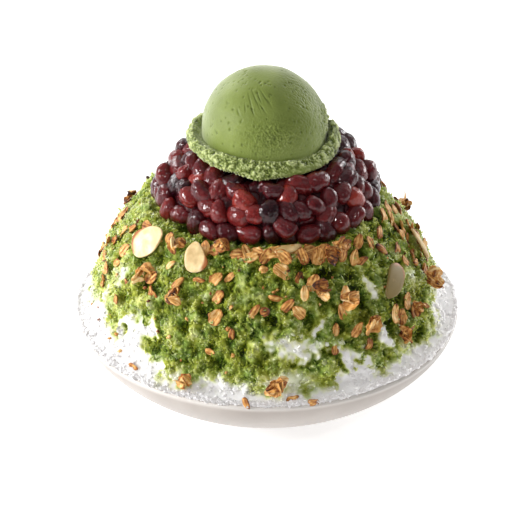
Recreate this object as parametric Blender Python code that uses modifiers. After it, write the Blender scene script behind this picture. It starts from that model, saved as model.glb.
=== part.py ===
"""A bowl of bingsu: shaved milk ice with matcha, red beans, a scoop of ice cream and granola.

Metres, +Z up, and the front of the dish is -Y. The origin is on the table, at the middle of
the bowl's foot. Azimuths are in degrees from the front, growing towards +X. A place on the
slope of the ice is given by its azimuth and by its distance down the slope from the beans.
"""

import random
from math import asin, cos, hypot, pi, radians, sin, sqrt

import bmesh
import bpy
from mathutils import Euler, Matrix, Vector, noise
from mathutils.bvhtree import BVHTree

# Clearance between pieces that touch in the real dish.
GAP = 0.0003

# Bowl: a round ceramic dish on a low turned foot.
BOWL_RADIUS = 0.0925
BOWL_HEIGHT = 0.0425
BOWL_WALL = 0.0028
BOWL_CURVE_DEPTH = 0.0458
BOWL_CURVE_POWER = 1.5
BOWL_FLOOR = 0.0056
FOOT_HEIGHT = 0.0022
FOOT_INNER_RADIUS = 0.0345
FOOT_RECESS = 0.0006
WALL_STEPS = 6
RIM_STEPS = 4
BOWL_SEGMENTS = 48
SHARP_ANGLE = 50

# Shaved ice: it meets the bowl a little below the rim and rises to the seat of the beans.
SNOW_LINE_DEPTH = 0.0025
SEAT_HEIGHT = 0.1020
SLOPE = (
    (0.0540, 0.1020),
    (0.0575, 0.1006),
    (0.0600, 0.0980),
    (0.0645, 0.0920),
    (0.0695, 0.0855),
    (0.0740, 0.0795),
    (0.0775, 0.0730),
    (0.0798, 0.0670),
    (0.0825, 0.0605),
    (0.0855, 0.0545),
    (0.0870, 0.0505),
    (0.0882, 0.0455),
)
SNOW_SHIFT = -0.0020
SNOW_LUMP = 0.0022
SNOW_LUMP_SIZE = 0.016
SNOW_GRAIN = 0.0010
SNOW_GRAIN_SIZE = 0.007

# Red beans: a heap on the seat, wider from side to side than from front to back at its foot.
BEAN_LENGTH = 0.0115
BEAN_COUNT = 84
BEAN_RISE = 0.0030
# How far the outermost beans' middles keep from the foot and from the crest of the heap.
FOOT_MARGIN = BEAN_LENGTH / 3
CREST_MARGIN = BEAN_LENGTH / 4
HEAP_TOP = 0.1274
HEAP_SHIFT = 0.0002
HEAP_FLATTEN = 0.92
HEAP_OUTLINE = (
    (0.0382, HEAP_TOP),
    (0.0408, 0.1252),
    (0.0440, 0.1222),
    (0.0474, 0.1180),
    (0.0504, 0.1143),
    (0.0530, 0.1102),
    (0.0546, 0.1062),
    (0.0540, 0.1023),
)
HEAP_SEGMENTS = 72

# Ice cream: a ball from a disher, with the ragged skirt that the disher's rim leaves.
SCOOP_RADIUS = 0.0290
SCOOP_CENTRE = Vector((-0.0015, 0.0, 0.1375))
SCOOP_BASE = HEAP_TOP + GAP
SCOOP_BASE_RADIUS = 0.0320
BALL_STEPS = 8
SKIRT_DROP = 0.0023
SKIRT_TILT = 0.085
SKIRT_LIP = (
    (0.0312, 0.1362),
    (0.0330, 0.1352),
    (0.0350, 0.1326),
    (0.0357, 0.1302),
    (0.0347, 0.1285),
)
SKIRT_RAGGED = 0.0011
# The tilt of the skirt fades out between these heights above the groove.
TILT_FADE = (0.0020, 0.0140)
# How far out from the ball the rough lip of the skirt starts, and where it is full.
LIP_START = (0.0005, 0.0025)
TEAR_SIZE = 0.0065
# Azimuth and height of the torn peaks, and how narrow they are.
SKIRT_PEAKS = ((-102, 0.0010), (95, 0.0065))
PEAK_POWER = 10
SCOOP_SEGMENTS = 48

# Toppings: sliced almonds, and clumps of baked oat flakes.
ALMOND_THICKNESS = 0.0013
ALMOND_BEND = 0.0008
ALMOND_TAPER = 0.28
ALMOND_SEGMENTS = 16
OAT_LENGTH = 0.0085
OAT_WIDTH = 0.0062
OAT_THICKNESS = 0.0022
OAT_SEGMENTS = 7
OAT_TOP_SHARE = 0.75
OAT_TIP = 22
DROP_HEIGHT = 0.0200
DROP_STEP = 0.0001

# Azimuth, distance down the slope, turn of the long axis, lean off the slope, length, width.
ALMOND_SLICES = (
    (-56, 0.0105, 50, 8, 0.0200, 0.0135),
    (-30, 0.0080, 112, 6, 0.0170, 0.0120),
    (53, 0.0290, 27, 4, 0.0225, 0.0108),
    (12, 0.0001, 6, -15, 0.0200, 0.0068),
    (82, 0.0290, 70, 14, 0.0165, 0.0090),
    (128, 0.0190, 25, 5, 0.0190, 0.0115),
    (171, 0.0100, 120, 6, 0.0185, 0.0120),
    (-152, 0.0310, 75, 4, 0.0195, 0.0110),
    (-128, 0.0150, 35, 6, 0.0180, 0.0105),
)

# Azimuth, distance down the slope, turn of the long axis, length, number of flakes.
GRANOLA_CLUSTERS = (
    (-50.5, 0.0255, 60, 0.0140, 4),
    (-32, 0.0280, 110, 0.0115, 3),
    (-24, 0.0630, 160, 0.0110, 3),
    (2, 0.0610, 40, 0.0145, 4),
    (23, 0.0205, 120, 0.0115, 3),
    (31, 0.0273, 75, 0.0130, 3),
    (36.5, 0.0415, 20, 0.0135, 4),
    (73, 0.0420, 80, 0.0140, 4),
    (32, 0.0070, 25, 0.0160, 4),
    (59, 0.0457, 150, 0.0120, 3),
    (48, 0.0532, 10, 0.0115, 3),
    (-20, 0.0010, 15, 0.0110, 3),
    (-41, 0.0062, 80, 0.0110, 3),
    (117, 0.0330, 45, 0.0125, 3),
    (126, 0.0520, 150, 0.0140, 4),
    (146, 0.0340, 65, 0.0120, 3),
    (163, 0.0540, 20, 0.0145, 4),
    (-172, 0.0240, 100, 0.0130, 3),
    (-141, 0.0490, 140, 0.0125, 4),
    (-122, 0.0330, 60, 0.0110, 3),
    (-116, 0.0540, 15, 0.0135, 4),
)

# Colour as sRGB hex, roughness, metallic.
FINISHES = {
    "glazed_stoneware": ("#EDE7E2", 0.18, 0.0),
    "milk_snow": ("#F3F4F6", 0.70, 0.0),
    "candied_beans": ("#5A1620", 0.15, 0.0),
    "matcha_ice_cream": ("#93A85A", 0.55, 0.0),
    "sliced_almond": ("#E9D3A0", 0.50, 0.0),
    "baked_oats": ("#C78B4A", 0.60, 0.0),
}


def linear(channel):
    """Turn one sRGB channel into a linear one."""
    if channel <= 0.04045:
        return channel / 12.92
    return ((channel + 0.055) / 1.055) ** 2.4


def make_finish(name):
    """Make the material of one kind of piece."""
    colour, roughness, metallic = FINISHES[name]
    channels = [int(colour[i:i + 2], 16) / 255 for i in (1, 3, 5)]
    material = bpy.data.materials.new(name)
    material.use_nodes = True
    shader = material.node_tree.nodes["Principled BSDF"]
    shader.inputs["Base Color"].default_value = (*map(linear, channels), 1.0)
    shader.inputs["Roughness"].default_value = roughness
    shader.inputs["Metallic"].default_value = metallic
    return material


def clear_scene():
    """Start from an empty scene."""
    for thing in list(bpy.data.objects):
        bpy.data.objects.remove(thing, do_unlink=True)


def add_object(name, mesh, finish, collection):
    """Put a mesh in the scene as the named piece."""
    piece = bpy.data.objects.new(name, mesh)
    mesh.materials.clear()
    mesh.materials.append(finish)
    collection.objects.link(piece)
    return piece


def apply_modifiers(piece):
    """Keep the piece's evaluated mesh in place of its modifiers."""
    depsgraph = bpy.context.evaluated_depsgraph_get()
    mesh = bpy.data.meshes.new_from_object(piece.evaluated_get(depsgraph))
    piece.modifiers.clear()
    piece.data = mesh


def turn(name, outline, segments, finish, collection):
    """Turn an outline of (radius, height) points round the Z axis."""
    mesh = bpy.data.meshes.new(name)
    edges = [(i, i + 1) for i in range(len(outline) - 1)]
    mesh.from_pydata([(radius, 0.0, height) for radius, height in outline], edges, [])
    piece = add_object(name, mesh, finish, collection)
    screw = piece.modifiers.new("turn", "SCREW")
    screw.axis = "Z"
    screw.angle = 2 * pi
    screw.steps = segments
    screw.render_steps = segments
    screw.use_merge_vertices = True
    screw.merge_threshold = 0.00001
    apply_modifiers(piece)
    piece.data.shade_smooth()
    piece.data.set_sharp_from_angle(angle=radians(SHARP_ANGLE))
    return piece


def swell(piece, amount_at):
    """Move each vertex straight away from the Z axis by the amount at its place."""
    for vertex in piece.data.vertices:
        place = vertex.co.copy()
        away = Vector((place.x, place.y, 0.0))
        if away.length > 0.001:
            vertex.co += away.normalized() * amount_at(place)


def ramp(value, start, end):
    """Rise smoothly from 0 at start to 1 at end."""
    part = min(max((value - start) / (end - start), 0.0), 1.0)
    return part * part * (3 - 2 * part)


def bowl_curve(depth, inset):
    """Radius of the bowl's wall at a depth below the rim, for a surface set in by inset."""
    part = depth / (BOWL_CURVE_DEPTH - inset)
    return (BOWL_RADIUS - inset) * sqrt(1 - part ** BOWL_CURVE_POWER)


def wall_points(inset, start_depth, end_depth):
    """Points down the wall of the bowl, from one depth to another."""
    points = []
    for i in range(WALL_STEPS + 1):
        depth = start_depth + (end_depth - start_depth) * i / WALL_STEPS
        points.append((bowl_curve(depth, inset), BOWL_HEIGHT - depth))
    return points


def make_bowl(finish, collection):
    """Turn the bowl: inside, round rim, outside, and the foot ring it stands on."""
    half_wall = BOWL_WALL / 2
    inside = wall_points(BOWL_WALL, SNOW_LINE_DEPTH, BOWL_HEIGHT - BOWL_FLOOR)
    outside = wall_points(0.0, SNOW_LINE_DEPTH, BOWL_HEIGHT - FOOT_HEIGHT)
    rim = []
    for i in range(RIM_STEPS + 1):
        angle = pi * i / RIM_STEPS
        rim.append((
            BOWL_RADIUS - half_wall - half_wall * cos(angle),
            BOWL_HEIGHT - half_wall + half_wall * sin(angle),
        ))
    foot_radius = outside[-1][0]
    recess_height = FOOT_HEIGHT - FOOT_RECESS
    foot = [
        (foot_radius - FOOT_RECESS, 0.0),
        (FOOT_INNER_RADIUS, 0.0),
        (FOOT_INNER_RADIUS - FOOT_RECESS, recess_height),
        (0.0, recess_height),
    ]
    outline = [(0.0, BOWL_FLOOR)] + inside[::-1] + rim + outside + foot
    return turn("bowl", outline, BOWL_SEGMENTS, finish, collection)


def snow_shift(height):
    """How far the mound's middle stands to the left at a height."""
    return SNOW_SHIFT * ramp(height, SLOPE[-3][1], SLOPE[5][1])


def make_snow(finish, collection):
    """Make the shaved ice: it fills the bowl and stands above it as one lumpy mound."""
    floor_depth = BOWL_HEIGHT - BOWL_FLOOR - GAP
    buried = wall_points(BOWL_WALL + GAP, SNOW_LINE_DEPTH, floor_depth)
    outline = [(0.0, SEAT_HEIGHT)] + list(SLOPE) + buried + [(0.0, BOWL_FLOOR + GAP)]
    piece = turn("shaved_ice", outline, BOWL_SEGMENTS, finish, collection)

    def lumps(place):
        above_wall = ramp(place.z, BOWL_HEIGHT, SLOPE[-2][1])
        below_seat = 1 - ramp(place.z, SLOPE[3][1], SEAT_HEIGHT)
        wide = noise.noise(place / SNOW_LUMP_SIZE)
        fine = noise.noise(place / SNOW_GRAIN_SIZE + Vector((7, 3, 1)))
        return above_wall * below_seat * (SNOW_LUMP * wide + SNOW_GRAIN * fine)

    swell(piece, lumps)
    for vertex in piece.data.vertices:
        vertex.co.x += snow_shift(vertex.co.z)
    return piece


def bean_places():
    """Spread the outer beans evenly over the heap's side, on a golden-angle spiral."""
    golden = pi * (3 - sqrt(5))
    foot = HEAP_OUTLINE[-1][1] + FOOT_MARGIN
    crest = HEAP_TOP - CREST_MARGIN
    places = []
    for i in range(BEAN_COUNT):
        height = foot + (crest - foot) * (i + 0.5) / BEAN_COUNT
        radius = outline_radius(HEAP_OUTLINE, height)
        places.append(Vector((radius * sin(i * golden), -radius * cos(i * golden), height)))
    return places


def outline_radius(outline, height):
    """Radius of the lowest stretch of an outline that crosses a height."""
    for lower, upper in zip(outline[::-1], outline[-2::-1]):
        if lower[1] <= height <= upper[1]:
            part = (height - lower[1]) / (upper[1] - lower[1])
            return lower[0] + part * (upper[0] - lower[0])
    return outline[0][0]


def make_bean_heap(finish, collection):
    """Make the heap of red beans: one solid with the knobbly outline of its outer beans."""
    foot_height = SEAT_HEIGHT + GAP
    outline = [(0.0, HEAP_TOP)] + list(HEAP_OUTLINE) + [(0.0, foot_height)]
    piece = turn("red_beans", outline, HEAP_SEGMENTS, finish, collection)
    places = bean_places()

    def knobs(place):
        nearest = min((place - bean).length for bean in places)
        rise = sqrt(max(0.0, 1 - (2 * nearest / BEAN_LENGTH) ** 2))
        side = ramp(hypot(place.x, place.y), HEAP_OUTLINE[0][0], HEAP_OUTLINE[1][0])
        return side * BEAN_RISE * (rise - 0.5)

    swell(piece, knobs)
    for vertex in piece.data.vertices:
        squeeze = ramp(vertex.co.z, HEAP_TOP, foot_height)
        vertex.co.y *= 1 + (HEAP_FLATTEN - 1) * squeeze
        vertex.co.x += HEAP_SHIFT
    return piece


def skirt_peak(away):
    """How much the torn skirt stands up on one side of the ball."""
    height = 0.0
    for azimuth, peak in SKIRT_PEAKS:
        toward = away.x * sin(radians(azimuth)) - away.y * cos(radians(azimuth))
        height += peak * max(0.0, toward) ** PEAK_POWER
    return height


def make_scoop(finish, collection):
    """Make the scoop: a ball down to the groove, then the skirt that spread round it."""
    groove_angle = pi / 2 + asin(SKIRT_DROP / SCOOP_RADIUS)
    ball = []
    for i in range(BALL_STEPS + 1):
        angle = groove_angle * i / BALL_STEPS
        ball.append((SCOOP_RADIUS * sin(angle), SCOOP_CENTRE.z + SCOOP_RADIUS * cos(angle)))
    ball[0] = (0.0, SCOOP_CENTRE.z + SCOOP_RADIUS)
    base = [(SCOOP_BASE_RADIUS, SCOOP_BASE), (0.0, SCOOP_BASE)]
    outline = ball + list(SKIRT_LIP) + base
    piece = turn("ice_cream", outline, SCOOP_SEGMENTS, finish, collection)
    groove_height = ball[-1][1]
    for vertex in piece.data.vertices:
        place = vertex.co.copy()
        low = ramp(place.z, SCOOP_BASE, groove_height)
        high = 1 - ramp(place.z, groove_height + TILT_FADE[0], groove_height + TILT_FADE[1])
        vertex.co.z -= SKIRT_TILT * place.x * low * high
        away = Vector((place.x, place.y, 0.0))
        lip = low * ramp(away.length, SCOOP_RADIUS + LIP_START[0], SCOOP_RADIUS + LIP_START[1])
        if lip > 0:
            away.normalize()
            vertex.co.z += lip * SKIRT_RAGGED * noise.noise(place / TEAR_SIZE + Vector((2, 9, 4)))
            vertex.co.z += lip * skirt_peak(away)
            vertex.co += away * lip * SKIRT_RAGGED * noise.noise(place / TEAR_SIZE)
        vertex.co.x += SCOOP_CENTRE.x
    return piece


def make_almond_slice(name, length, width, finish, collection):
    """Make a thin slice of almond: a drop-shaped disc, a little bent along its length."""
    mesh = bpy.data.meshes.new(name)
    body = bmesh.new()
    bmesh.ops.create_cone(
        body, cap_ends=True, cap_tris=True, segments=ALMOND_SEGMENTS,
        radius1=1.0, radius2=1.0, depth=ALMOND_THICKNESS,
    )
    for vertex in body.verts:
        along, across = vertex.co.x, vertex.co.y
        vertex.co.x = along * length / 2
        vertex.co.y = across * width / 2 * (1 - ALMOND_TAPER * along)
        vertex.co.z += ALMOND_BEND * (along * along - 0.5)
    body.to_mesh(mesh)
    body.free()
    return add_object(name, mesh, finish, collection)


def make_flake(size, turn_by, shift, finish, collection):
    """Make one rolled oat of a cluster: a thin dished disc, narrower on top."""
    mesh = bpy.data.meshes.new("flake")
    body = bmesh.new()
    bmesh.ops.create_cone(
        body, cap_ends=True, segments=OAT_SEGMENTS, radius1=1.0, radius2=OAT_TOP_SHARE, depth=1.0,
    )
    half = Vector((OAT_LENGTH / 2, OAT_WIDTH / 2, OAT_THICKNESS)) * size
    place = Matrix.Translation(shift) @ turn_by.to_matrix().to_4x4() @ Matrix.Diagonal((*half, 1))
    bmesh.ops.transform(body, verts=body.verts, matrix=place)
    body.to_mesh(mesh)
    body.free()
    return add_object("flake", mesh, finish, collection)


def make_cluster(name, length, flakes, seed, finish, parts, cutters):
    """Make a clump of oat flakes stuck together by syrup: their union, as one solid."""
    chance = random.Random(seed)
    spread = (length - OAT_LENGTH) / 2
    cluster = None
    for i in range(flakes):
        part = 2 * i / (flakes - 1) - 1
        shift = Vector((
            spread * part,
            chance.uniform(-0.2, 0.2) * OAT_WIDTH,
            chance.uniform(-0.15, 0.25) * OAT_THICKNESS,
        ))
        turn_by = Euler((
            radians(chance.uniform(-OAT_TIP, OAT_TIP)),
            radians(chance.uniform(-OAT_TIP, OAT_TIP)),
            radians(chance.uniform(0, 180)),
        ))
        size = chance.uniform(0.9, 1.1)
        home = parts if cluster is None else cutters
        flake = make_flake(size, turn_by, shift, finish, home)
        if cluster is None:
            cluster = flake
            cluster.name = name
            continue
        flake.hide_render = True
        flake.display_type = "WIRE"
        join = cluster.modifiers.new("join", "BOOLEAN")
        join.operation = "UNION"
        join.solver = "EXACT"
        join.object = flake
        apply_modifiers(cluster)
        bpy.data.objects.remove(flake, do_unlink=True)
    cluster.data.name = name
    return cluster


def slope_place(down):
    """Point of the slope and its outward normal, as (radius, height) pairs."""
    left = down
    for upper, lower in zip(SLOPE, SLOPE[1:]):
        step = hypot(lower[0] - upper[0], lower[1] - upper[1])
        if left <= step:
            break
        left -= step
    part = left / step
    point = (upper[0] + part * (lower[0] - upper[0]), upper[1] + part * (lower[1] - upper[1]))
    normal = ((upper[1] - lower[1]) / step, (lower[0] - upper[0]) / step)
    return point, normal


def world_tree(piece):
    """Search tree of a piece's surface, in world space."""
    body = bmesh.new()
    body.from_mesh(piece.data)
    body.transform(piece.matrix_world)
    tree = BVHTree.FromBMesh(body)
    corners = [vertex.co.copy() for vertex in body.verts]
    body.free()
    return tree, corners


def is_clear(piece, others):
    """Tell whether a piece keeps the gap to all others and cuts into none."""
    tree, corners = world_tree(piece)
    centre = sum(corners, Vector()) / len(corners)
    reach = max((corner - centre).length for corner in corners) + GAP
    for other_tree, other_corners in others:
        if tree.overlap(other_tree):
            return False
        if any(other_tree.find_nearest(corner, GAP)[0] is not None for corner in corners):
            return False
        near = [corner for corner in other_corners if (corner - centre).length < reach]
        if any(tree.find_nearest(corner, GAP)[0] is not None for corner in near):
            return False
    return True


def lay_on_slope(piece, azimuth, down, turned, lean, others):
    """Lower a piece flat onto the slope until it would touch what is there."""
    (radius, height), (out, up) = slope_place(down)
    angle = radians(azimuth)
    away = Vector((sin(angle), -cos(angle), 0.0))
    normal = (away * out + Vector((0, 0, up))).normalized()
    across = Vector((cos(angle), sin(angle), 0.0))
    uphill = normal.cross(across)
    stand = Matrix((across, uphill, normal)).transposed().to_4x4()
    spin = Matrix.Rotation(radians(turned), 4, "Z") @ Matrix.Rotation(radians(lean), 4, "X")
    place = away * radius + Vector((snow_shift(height), 0, height))
    lift = DROP_HEIGHT
    while lift > -DROP_HEIGHT:
        piece.matrix_world = Matrix.Translation(place + normal * lift) @ stand @ spin
        if not is_clear(piece, others):
            break
        lift -= DROP_STEP
    lift += DROP_STEP
    piece.matrix_world = Matrix.Translation(place + normal * lift) @ stand @ spin
    others.append(world_tree(piece))


def build():
    """Build the dish from the bowl up."""
    clear_scene()
    parts = bpy.data.collections.new("bingsu")
    cutters = bpy.data.collections.new("cutters")
    bpy.context.scene.collection.children.link(parts)
    bpy.context.scene.collection.children.link(cutters)
    finishes = {name: make_finish(name) for name in FINISHES}
    bowl = make_bowl(finishes["glazed_stoneware"], parts)
    snow = make_snow(finishes["milk_snow"], parts)
    heap = make_bean_heap(finishes["candied_beans"], parts)
    make_scoop(finishes["matcha_ice_cream"], parts)
    others = [world_tree(bowl), world_tree(snow), world_tree(heap)]
    for number, (azimuth, down, turned, lean, length, width) in enumerate(ALMOND_SLICES, 1):
        name = f"almond_slice_{number}"
        piece = make_almond_slice(name, length, width, finishes["sliced_almond"], parts)
        lay_on_slope(piece, azimuth, down, turned, lean, others)
    for number, (azimuth, down, turned, length, flakes) in enumerate(GRANOLA_CLUSTERS, 1):
        name = f"granola_cluster_{number}"
        oats = finishes["baked_oats"]
        piece = make_cluster(name, length, flakes, number, oats, parts, cutters)
        lay_on_slope(piece, azimuth, down, turned, 0, others)


build()
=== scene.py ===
"""Looks of the bingsu: shaved milk ice with matcha, candied red beans, a matcha scoop and granola.

Metres, +Z up, and the front of the dish is -Y. Azimuths are in degrees from the front, growing
towards +X. A place on the ice is an azimuth and a distance down the slope from the bean heap.
"""
import random
from math import asin, atan2, ceil, cos, degrees, hypot, pi, radians, sin, sqrt, tan

import bmesh
import bpy
import numpy as np
from mathutils import Matrix, Vector, noise
from mathutils.bvhtree import BVHTree


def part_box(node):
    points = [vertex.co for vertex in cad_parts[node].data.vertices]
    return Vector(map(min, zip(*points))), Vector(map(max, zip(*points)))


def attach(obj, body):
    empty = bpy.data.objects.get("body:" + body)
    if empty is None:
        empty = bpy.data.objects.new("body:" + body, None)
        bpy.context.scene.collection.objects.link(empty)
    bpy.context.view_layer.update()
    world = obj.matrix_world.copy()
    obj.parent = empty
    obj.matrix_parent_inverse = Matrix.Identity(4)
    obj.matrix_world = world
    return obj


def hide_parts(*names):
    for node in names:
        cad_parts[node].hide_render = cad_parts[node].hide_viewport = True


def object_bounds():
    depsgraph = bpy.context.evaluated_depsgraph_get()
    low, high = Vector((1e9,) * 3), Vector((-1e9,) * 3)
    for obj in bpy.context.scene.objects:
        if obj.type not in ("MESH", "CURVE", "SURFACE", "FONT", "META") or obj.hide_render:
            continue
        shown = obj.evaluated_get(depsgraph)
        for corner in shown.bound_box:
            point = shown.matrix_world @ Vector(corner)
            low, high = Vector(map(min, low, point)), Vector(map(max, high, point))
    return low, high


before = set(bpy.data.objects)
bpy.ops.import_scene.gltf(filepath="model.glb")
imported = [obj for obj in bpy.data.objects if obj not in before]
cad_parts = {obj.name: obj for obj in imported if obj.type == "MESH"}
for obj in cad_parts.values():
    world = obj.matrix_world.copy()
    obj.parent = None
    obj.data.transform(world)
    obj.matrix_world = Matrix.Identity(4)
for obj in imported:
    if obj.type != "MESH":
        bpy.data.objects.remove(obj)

MM = 0.001
BODY = "root"
CAD_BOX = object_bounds()
BOWL_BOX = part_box("bowl")
ICE_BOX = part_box("shaved_ice")
BEAN_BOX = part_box("red_beans")
SCOOP_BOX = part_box("ice_cream")

# ---------------------------------------------------------------- bowl
BOWL_RADIUS = BOWL_BOX[1].x
BOWL_HEIGHT = BOWL_BOX[1].z
BOWL_WALL = 2.8 * MM
# The curve from rim to foot, as depth below the rim where it would reach the axis.
BOWL_CURVE_DEPTH = BOWL_HEIGHT + 3.3 * MM
BOWL_CURVE_POWER = 1.5
BOWL_FLOOR = 5.6 * MM
FOOT_HEIGHT = 2.2 * MM
FOOT_OUTER_RADIUS = 38.0 * MM
FOOT_INNER_RADIUS = 34.5 * MM
FOOT_RECESS = 0.6 * MM
BOWL_SEGMENTS = 160

# ---------------------------------------------------------------- shaved ice
ICE_COLUMNS = 640
ICE_ROWS = 134
SEAT_RADIUS = 54 * MM
# Rows on the flat seat of the beans, above the slope: few where the beans hide them.
SEAT_PLACES = (-14.0, -11.0, -8.5, -7.0, -6.0, -5.0, -4.0, -3.2, -2.6, -2.0, -1.5, -1.0, -0.5)
SLOPE_LENGTH = 68 * MM
SNOW_LINE_DEPTH = 2.5 * MM

# The azimuth round which the green is painted paler, as light from the key falls on that side.
PAINTED_LIGHT_SIDE = -84
# Where the matcha stops, as (azimuth, millimetres down the slope).
MATCHA_EDGE = (
    (-180, 57), (-165, 50), (-150, 60), (-135, 54), (-118, 61), (-104, 52), (-92, 58),
    (-79, 50), (-68, 49), (-60, 54), (-56, 53), (-52, 45), (-47, 38), (-43, 41), (-38, 53),
    (-34, 62), (-30, 64), (-25, 60), (-18, 56), (-10, 57), (0, 59), (10, 61), (18, 61),
    (21, 55), (24, 52), (27, 45), (31, 50), (33, 58), (40, 60), (45, 54), (52, 57), (60, 60),
    (67, 58), (72, 51), (82, 44), (92, 50), (108, 59), (122, 50), (138, 60), (155, 53), (180, 57),
)
# Places where milk ice shows through: azimuth, mm down, half width, half height, lean, strength.
BARE_PATCHES = (
    (9, 43, 16, 6.5, -12, 0.95),
    (42, 24, 3.0, 8, 6, 0.9),
    (41, 46, 4.0, 7, 0, 1.0),
    (17, 36, 6.5, 1.6, 35, 0.95),
    (-42, 42, 3.0, 5, 0, 0.8),
    (-63, 29, 4.0, 5.5, -20, 0.75),
    (-71, 45, 4.5, 5, 0, 0.75),
    (60, 44, 3.0, 4, 0, 0.6),
    (-33, 6, 2.0, 2.0, 0, 0.7),
    (64, 30, 5.0, 7, 20, 0.5),
    (100, 36, 4, 7, 10, 0.8),
    (132, 22, 5, 4, -30, 0.7),
    (160, 40, 9, 5, 0, 0.8),
    (-160, 30, 4, 6, 25, 0.8),
    (-128, 42, 7, 4, 0, 0.75),
    (-100, 26, 3, 6, -15, 0.7),
)
# Places where the matcha lies on the bare ice below its edge.
MATCHA_PATCHES = ((-42, 50.5, 3.6, 3.8, 0, 1.0), (37, 56, 5, 4, 0, 1.0), (147, 62, 3, 2.5, 0, 1.0))

# Where the milk ice is heaped higher against the rim: azimuth, reach in degrees, rise in mm.
SNOW_BANKS = ((-90, 22, 2.4), (84, 24, 2.0), (32, 14, 1.4))
# Places that hold more syrup than the rest, or less where the strength is below 0.
SYRUP_POOLS = (
    (-3, 33, 13, 8, 0, 0.22), (37, 21, 8, 9, 0, 0.4), (6, 56, 16, 6, 0, -0.75),
    (-16, 28, 9, 7, 20, 0.12), (24, 8, 12, 6, 0, 0.2), (-34, 56, 8, 5, 30, 0.15),
    (28, 46, 6, 7, 0, 0.2), (54, 22, 6, 8, 0, -0.15), (66, 6, 10, 9, 0, 0.25), (50, 34, 7, 7, 0, 0.15),
)


# ---------------------------------------------------------------- small tools
def linear(hex_colour):
    """An sRGB hex value as the linear colour that a shader takes."""
    parts = [int(hex_colour[i:i + 2], 16) / 255 for i in (1, 3, 5)]
    return [c / 12.92 if c <= 0.04045 else ((c + 0.055) / 1.055) ** 2.4 for c in parts] + [1.0]


def smooth(low, high, value):
    """0 below low, 1 above high, and a soft step between; for numbers and arrays."""
    t = np.clip((value - low) / (high - low), 0.0, 1.0)
    return t * t * (3 - 2 * t)


def around(angle, centre):
    """Difference of two azimuths in degrees, from -180 to 180; for numbers and arrays."""
    return (angle - centre + 180) % 360 - 180


def node(tree, kind, inputs=None, stops=None, **settings):
    """Adds a shader node. Each input is a constant or another node's output; stops fill a ramp."""
    made = tree.nodes.new("ShaderNode" + kind)
    for name, value in settings.items():
        setattr(made, name, value)
    for socket, value in (inputs or {}).items():
        if isinstance(value, bpy.types.NodeSocket):
            tree.links.new(value, made.inputs[socket])
        else:
            made.inputs[socket].default_value = value
    if stops:
        elements = made.color_ramp.elements
        while len(elements) < len(stops):
            elements.new(0.5)
        for element, (place, colour) in zip(elements, stops):
            element.position = place
            element.color = linear(colour)
    return made


def new_material(name):
    """An empty node material and its tree."""
    material = bpy.data.materials.new(name)
    material.use_nodes = True
    material.node_tree.nodes.clear()
    return material, material.node_tree


def per(millimetres):
    """Texture scale that gives a pattern of that size."""
    return 1.0 / (millimetres * MM)


def make_piece(name, points, faces, material, slot, replaced=(), **values):
    """A smooth-shaded mesh on the body, with one float attribute for each named value."""
    mesh = bpy.data.meshes.new(name)
    mesh.from_pydata(np.asarray(points).tolist(), [], faces)
    mesh.polygons.foreach_set("use_smooth", [True] * len(mesh.polygons))
    for label, numbers in values.items():
        layer = mesh.attributes.new(label, "FLOAT", "POINT")
        layer.data.foreach_set("value", np.asarray(numbers, dtype=np.float32).ravel())
    mesh.materials.append(material)
    mesh.validate()
    piece = bpy.data.objects.new(name, mesh)
    bpy.context.scene.collection.objects.link(piece)
    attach(piece, BODY)
    if replaced:
        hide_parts(*replaced)
    return piece


def ring_faces(rows, columns, top, bottom):
    """Faces of a closed grid that goes round an axis, with a pole point at each end."""
    faces = []
    for row in range(rows - 1):
        a, b = row * columns, (row + 1) * columns
        faces += [(a + c, b + c, b + (c + 1) % columns, a + (c + 1) % columns) for c in range(columns)]
    last = (rows - 1) * columns
    faces += [(top, c, (c + 1) % columns) for c in range(columns)]
    faces += [(last + c, bottom, last + (c + 1) % columns) for c in range(columns)]
    return faces


def turned(rows, top, bottom):
    """Points and faces from rows of rings, from the top pole to the bottom one."""
    count, columns = rows.shape[:2]
    points = np.vstack([rows.reshape(-1, 3), [top, bottom]])
    return points, ring_faces(count, columns, count * columns, count * columns + 1)


def azimuth_directions(columns, crowding=0.0):
    """Unit vectors to all azimuths, and the azimuths in degrees; crowding brings them closer at the front."""
    turn = np.arange(columns) * 2 * pi / columns
    turn = turn - crowding * np.sin(turn)
    return np.stack([np.sin(turn), -np.cos(turn), np.zeros(columns)], axis=1), np.degrees(turn)


def grid_normals(rows):
    """Outward unit normals of a grid of rings."""
    down = np.gradient(rows, axis=0)
    along = np.roll(rows, -1, axis=1) - np.roll(rows, 1, axis=1)
    normals = np.cross(down, along)
    return normals / np.maximum(np.linalg.norm(normals, axis=2, keepdims=True), 1e-12)


def noise_field(points, size, seed, kind="PERLIN_ORIGINAL"):
    """Seeded noise at each point of a grid, about -1 to 1, with features of the given size."""
    flat = (points.reshape(-1, 3) / size + seed * 7.31).tolist()
    values = [noise.noise(p, noise_basis=kind) for p in flat]
    return np.array(values).reshape(points.shape[:-1])


def soften(grid, rows, columns):
    """Running mean of a grid: columns wrap round, rows stop at the ends."""
    result = grid.copy()
    for _ in range(2):
        result = sum(np.roll(result, k, axis=1) for k in range(-columns, columns + 1)) / (2 * columns + 1)
        padded = np.pad(result, ((rows, rows), (0, 0)), mode="edge")
        height = len(result)
        result = sum(padded[k:k + height] for k in range(2 * rows + 1)) / (2 * rows + 1)
    return result


def loft(stations, ring, shape):
    """A closed form: shape(u, turn) gives points for u from -1 to 1 and turn round the section."""
    u = np.linspace(-1, 1, stations + 2)[1:-1]
    turn = np.arange(ring) * 2 * pi / ring
    across, along = np.meshgrid(turn, u)
    rows = shape(along, across)
    tips = [shape(np.array([[end]]), np.array([[0.0]]))[0, 0] for end in (-1.0, 1.0)]
    return turned(rows, *tips)


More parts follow.
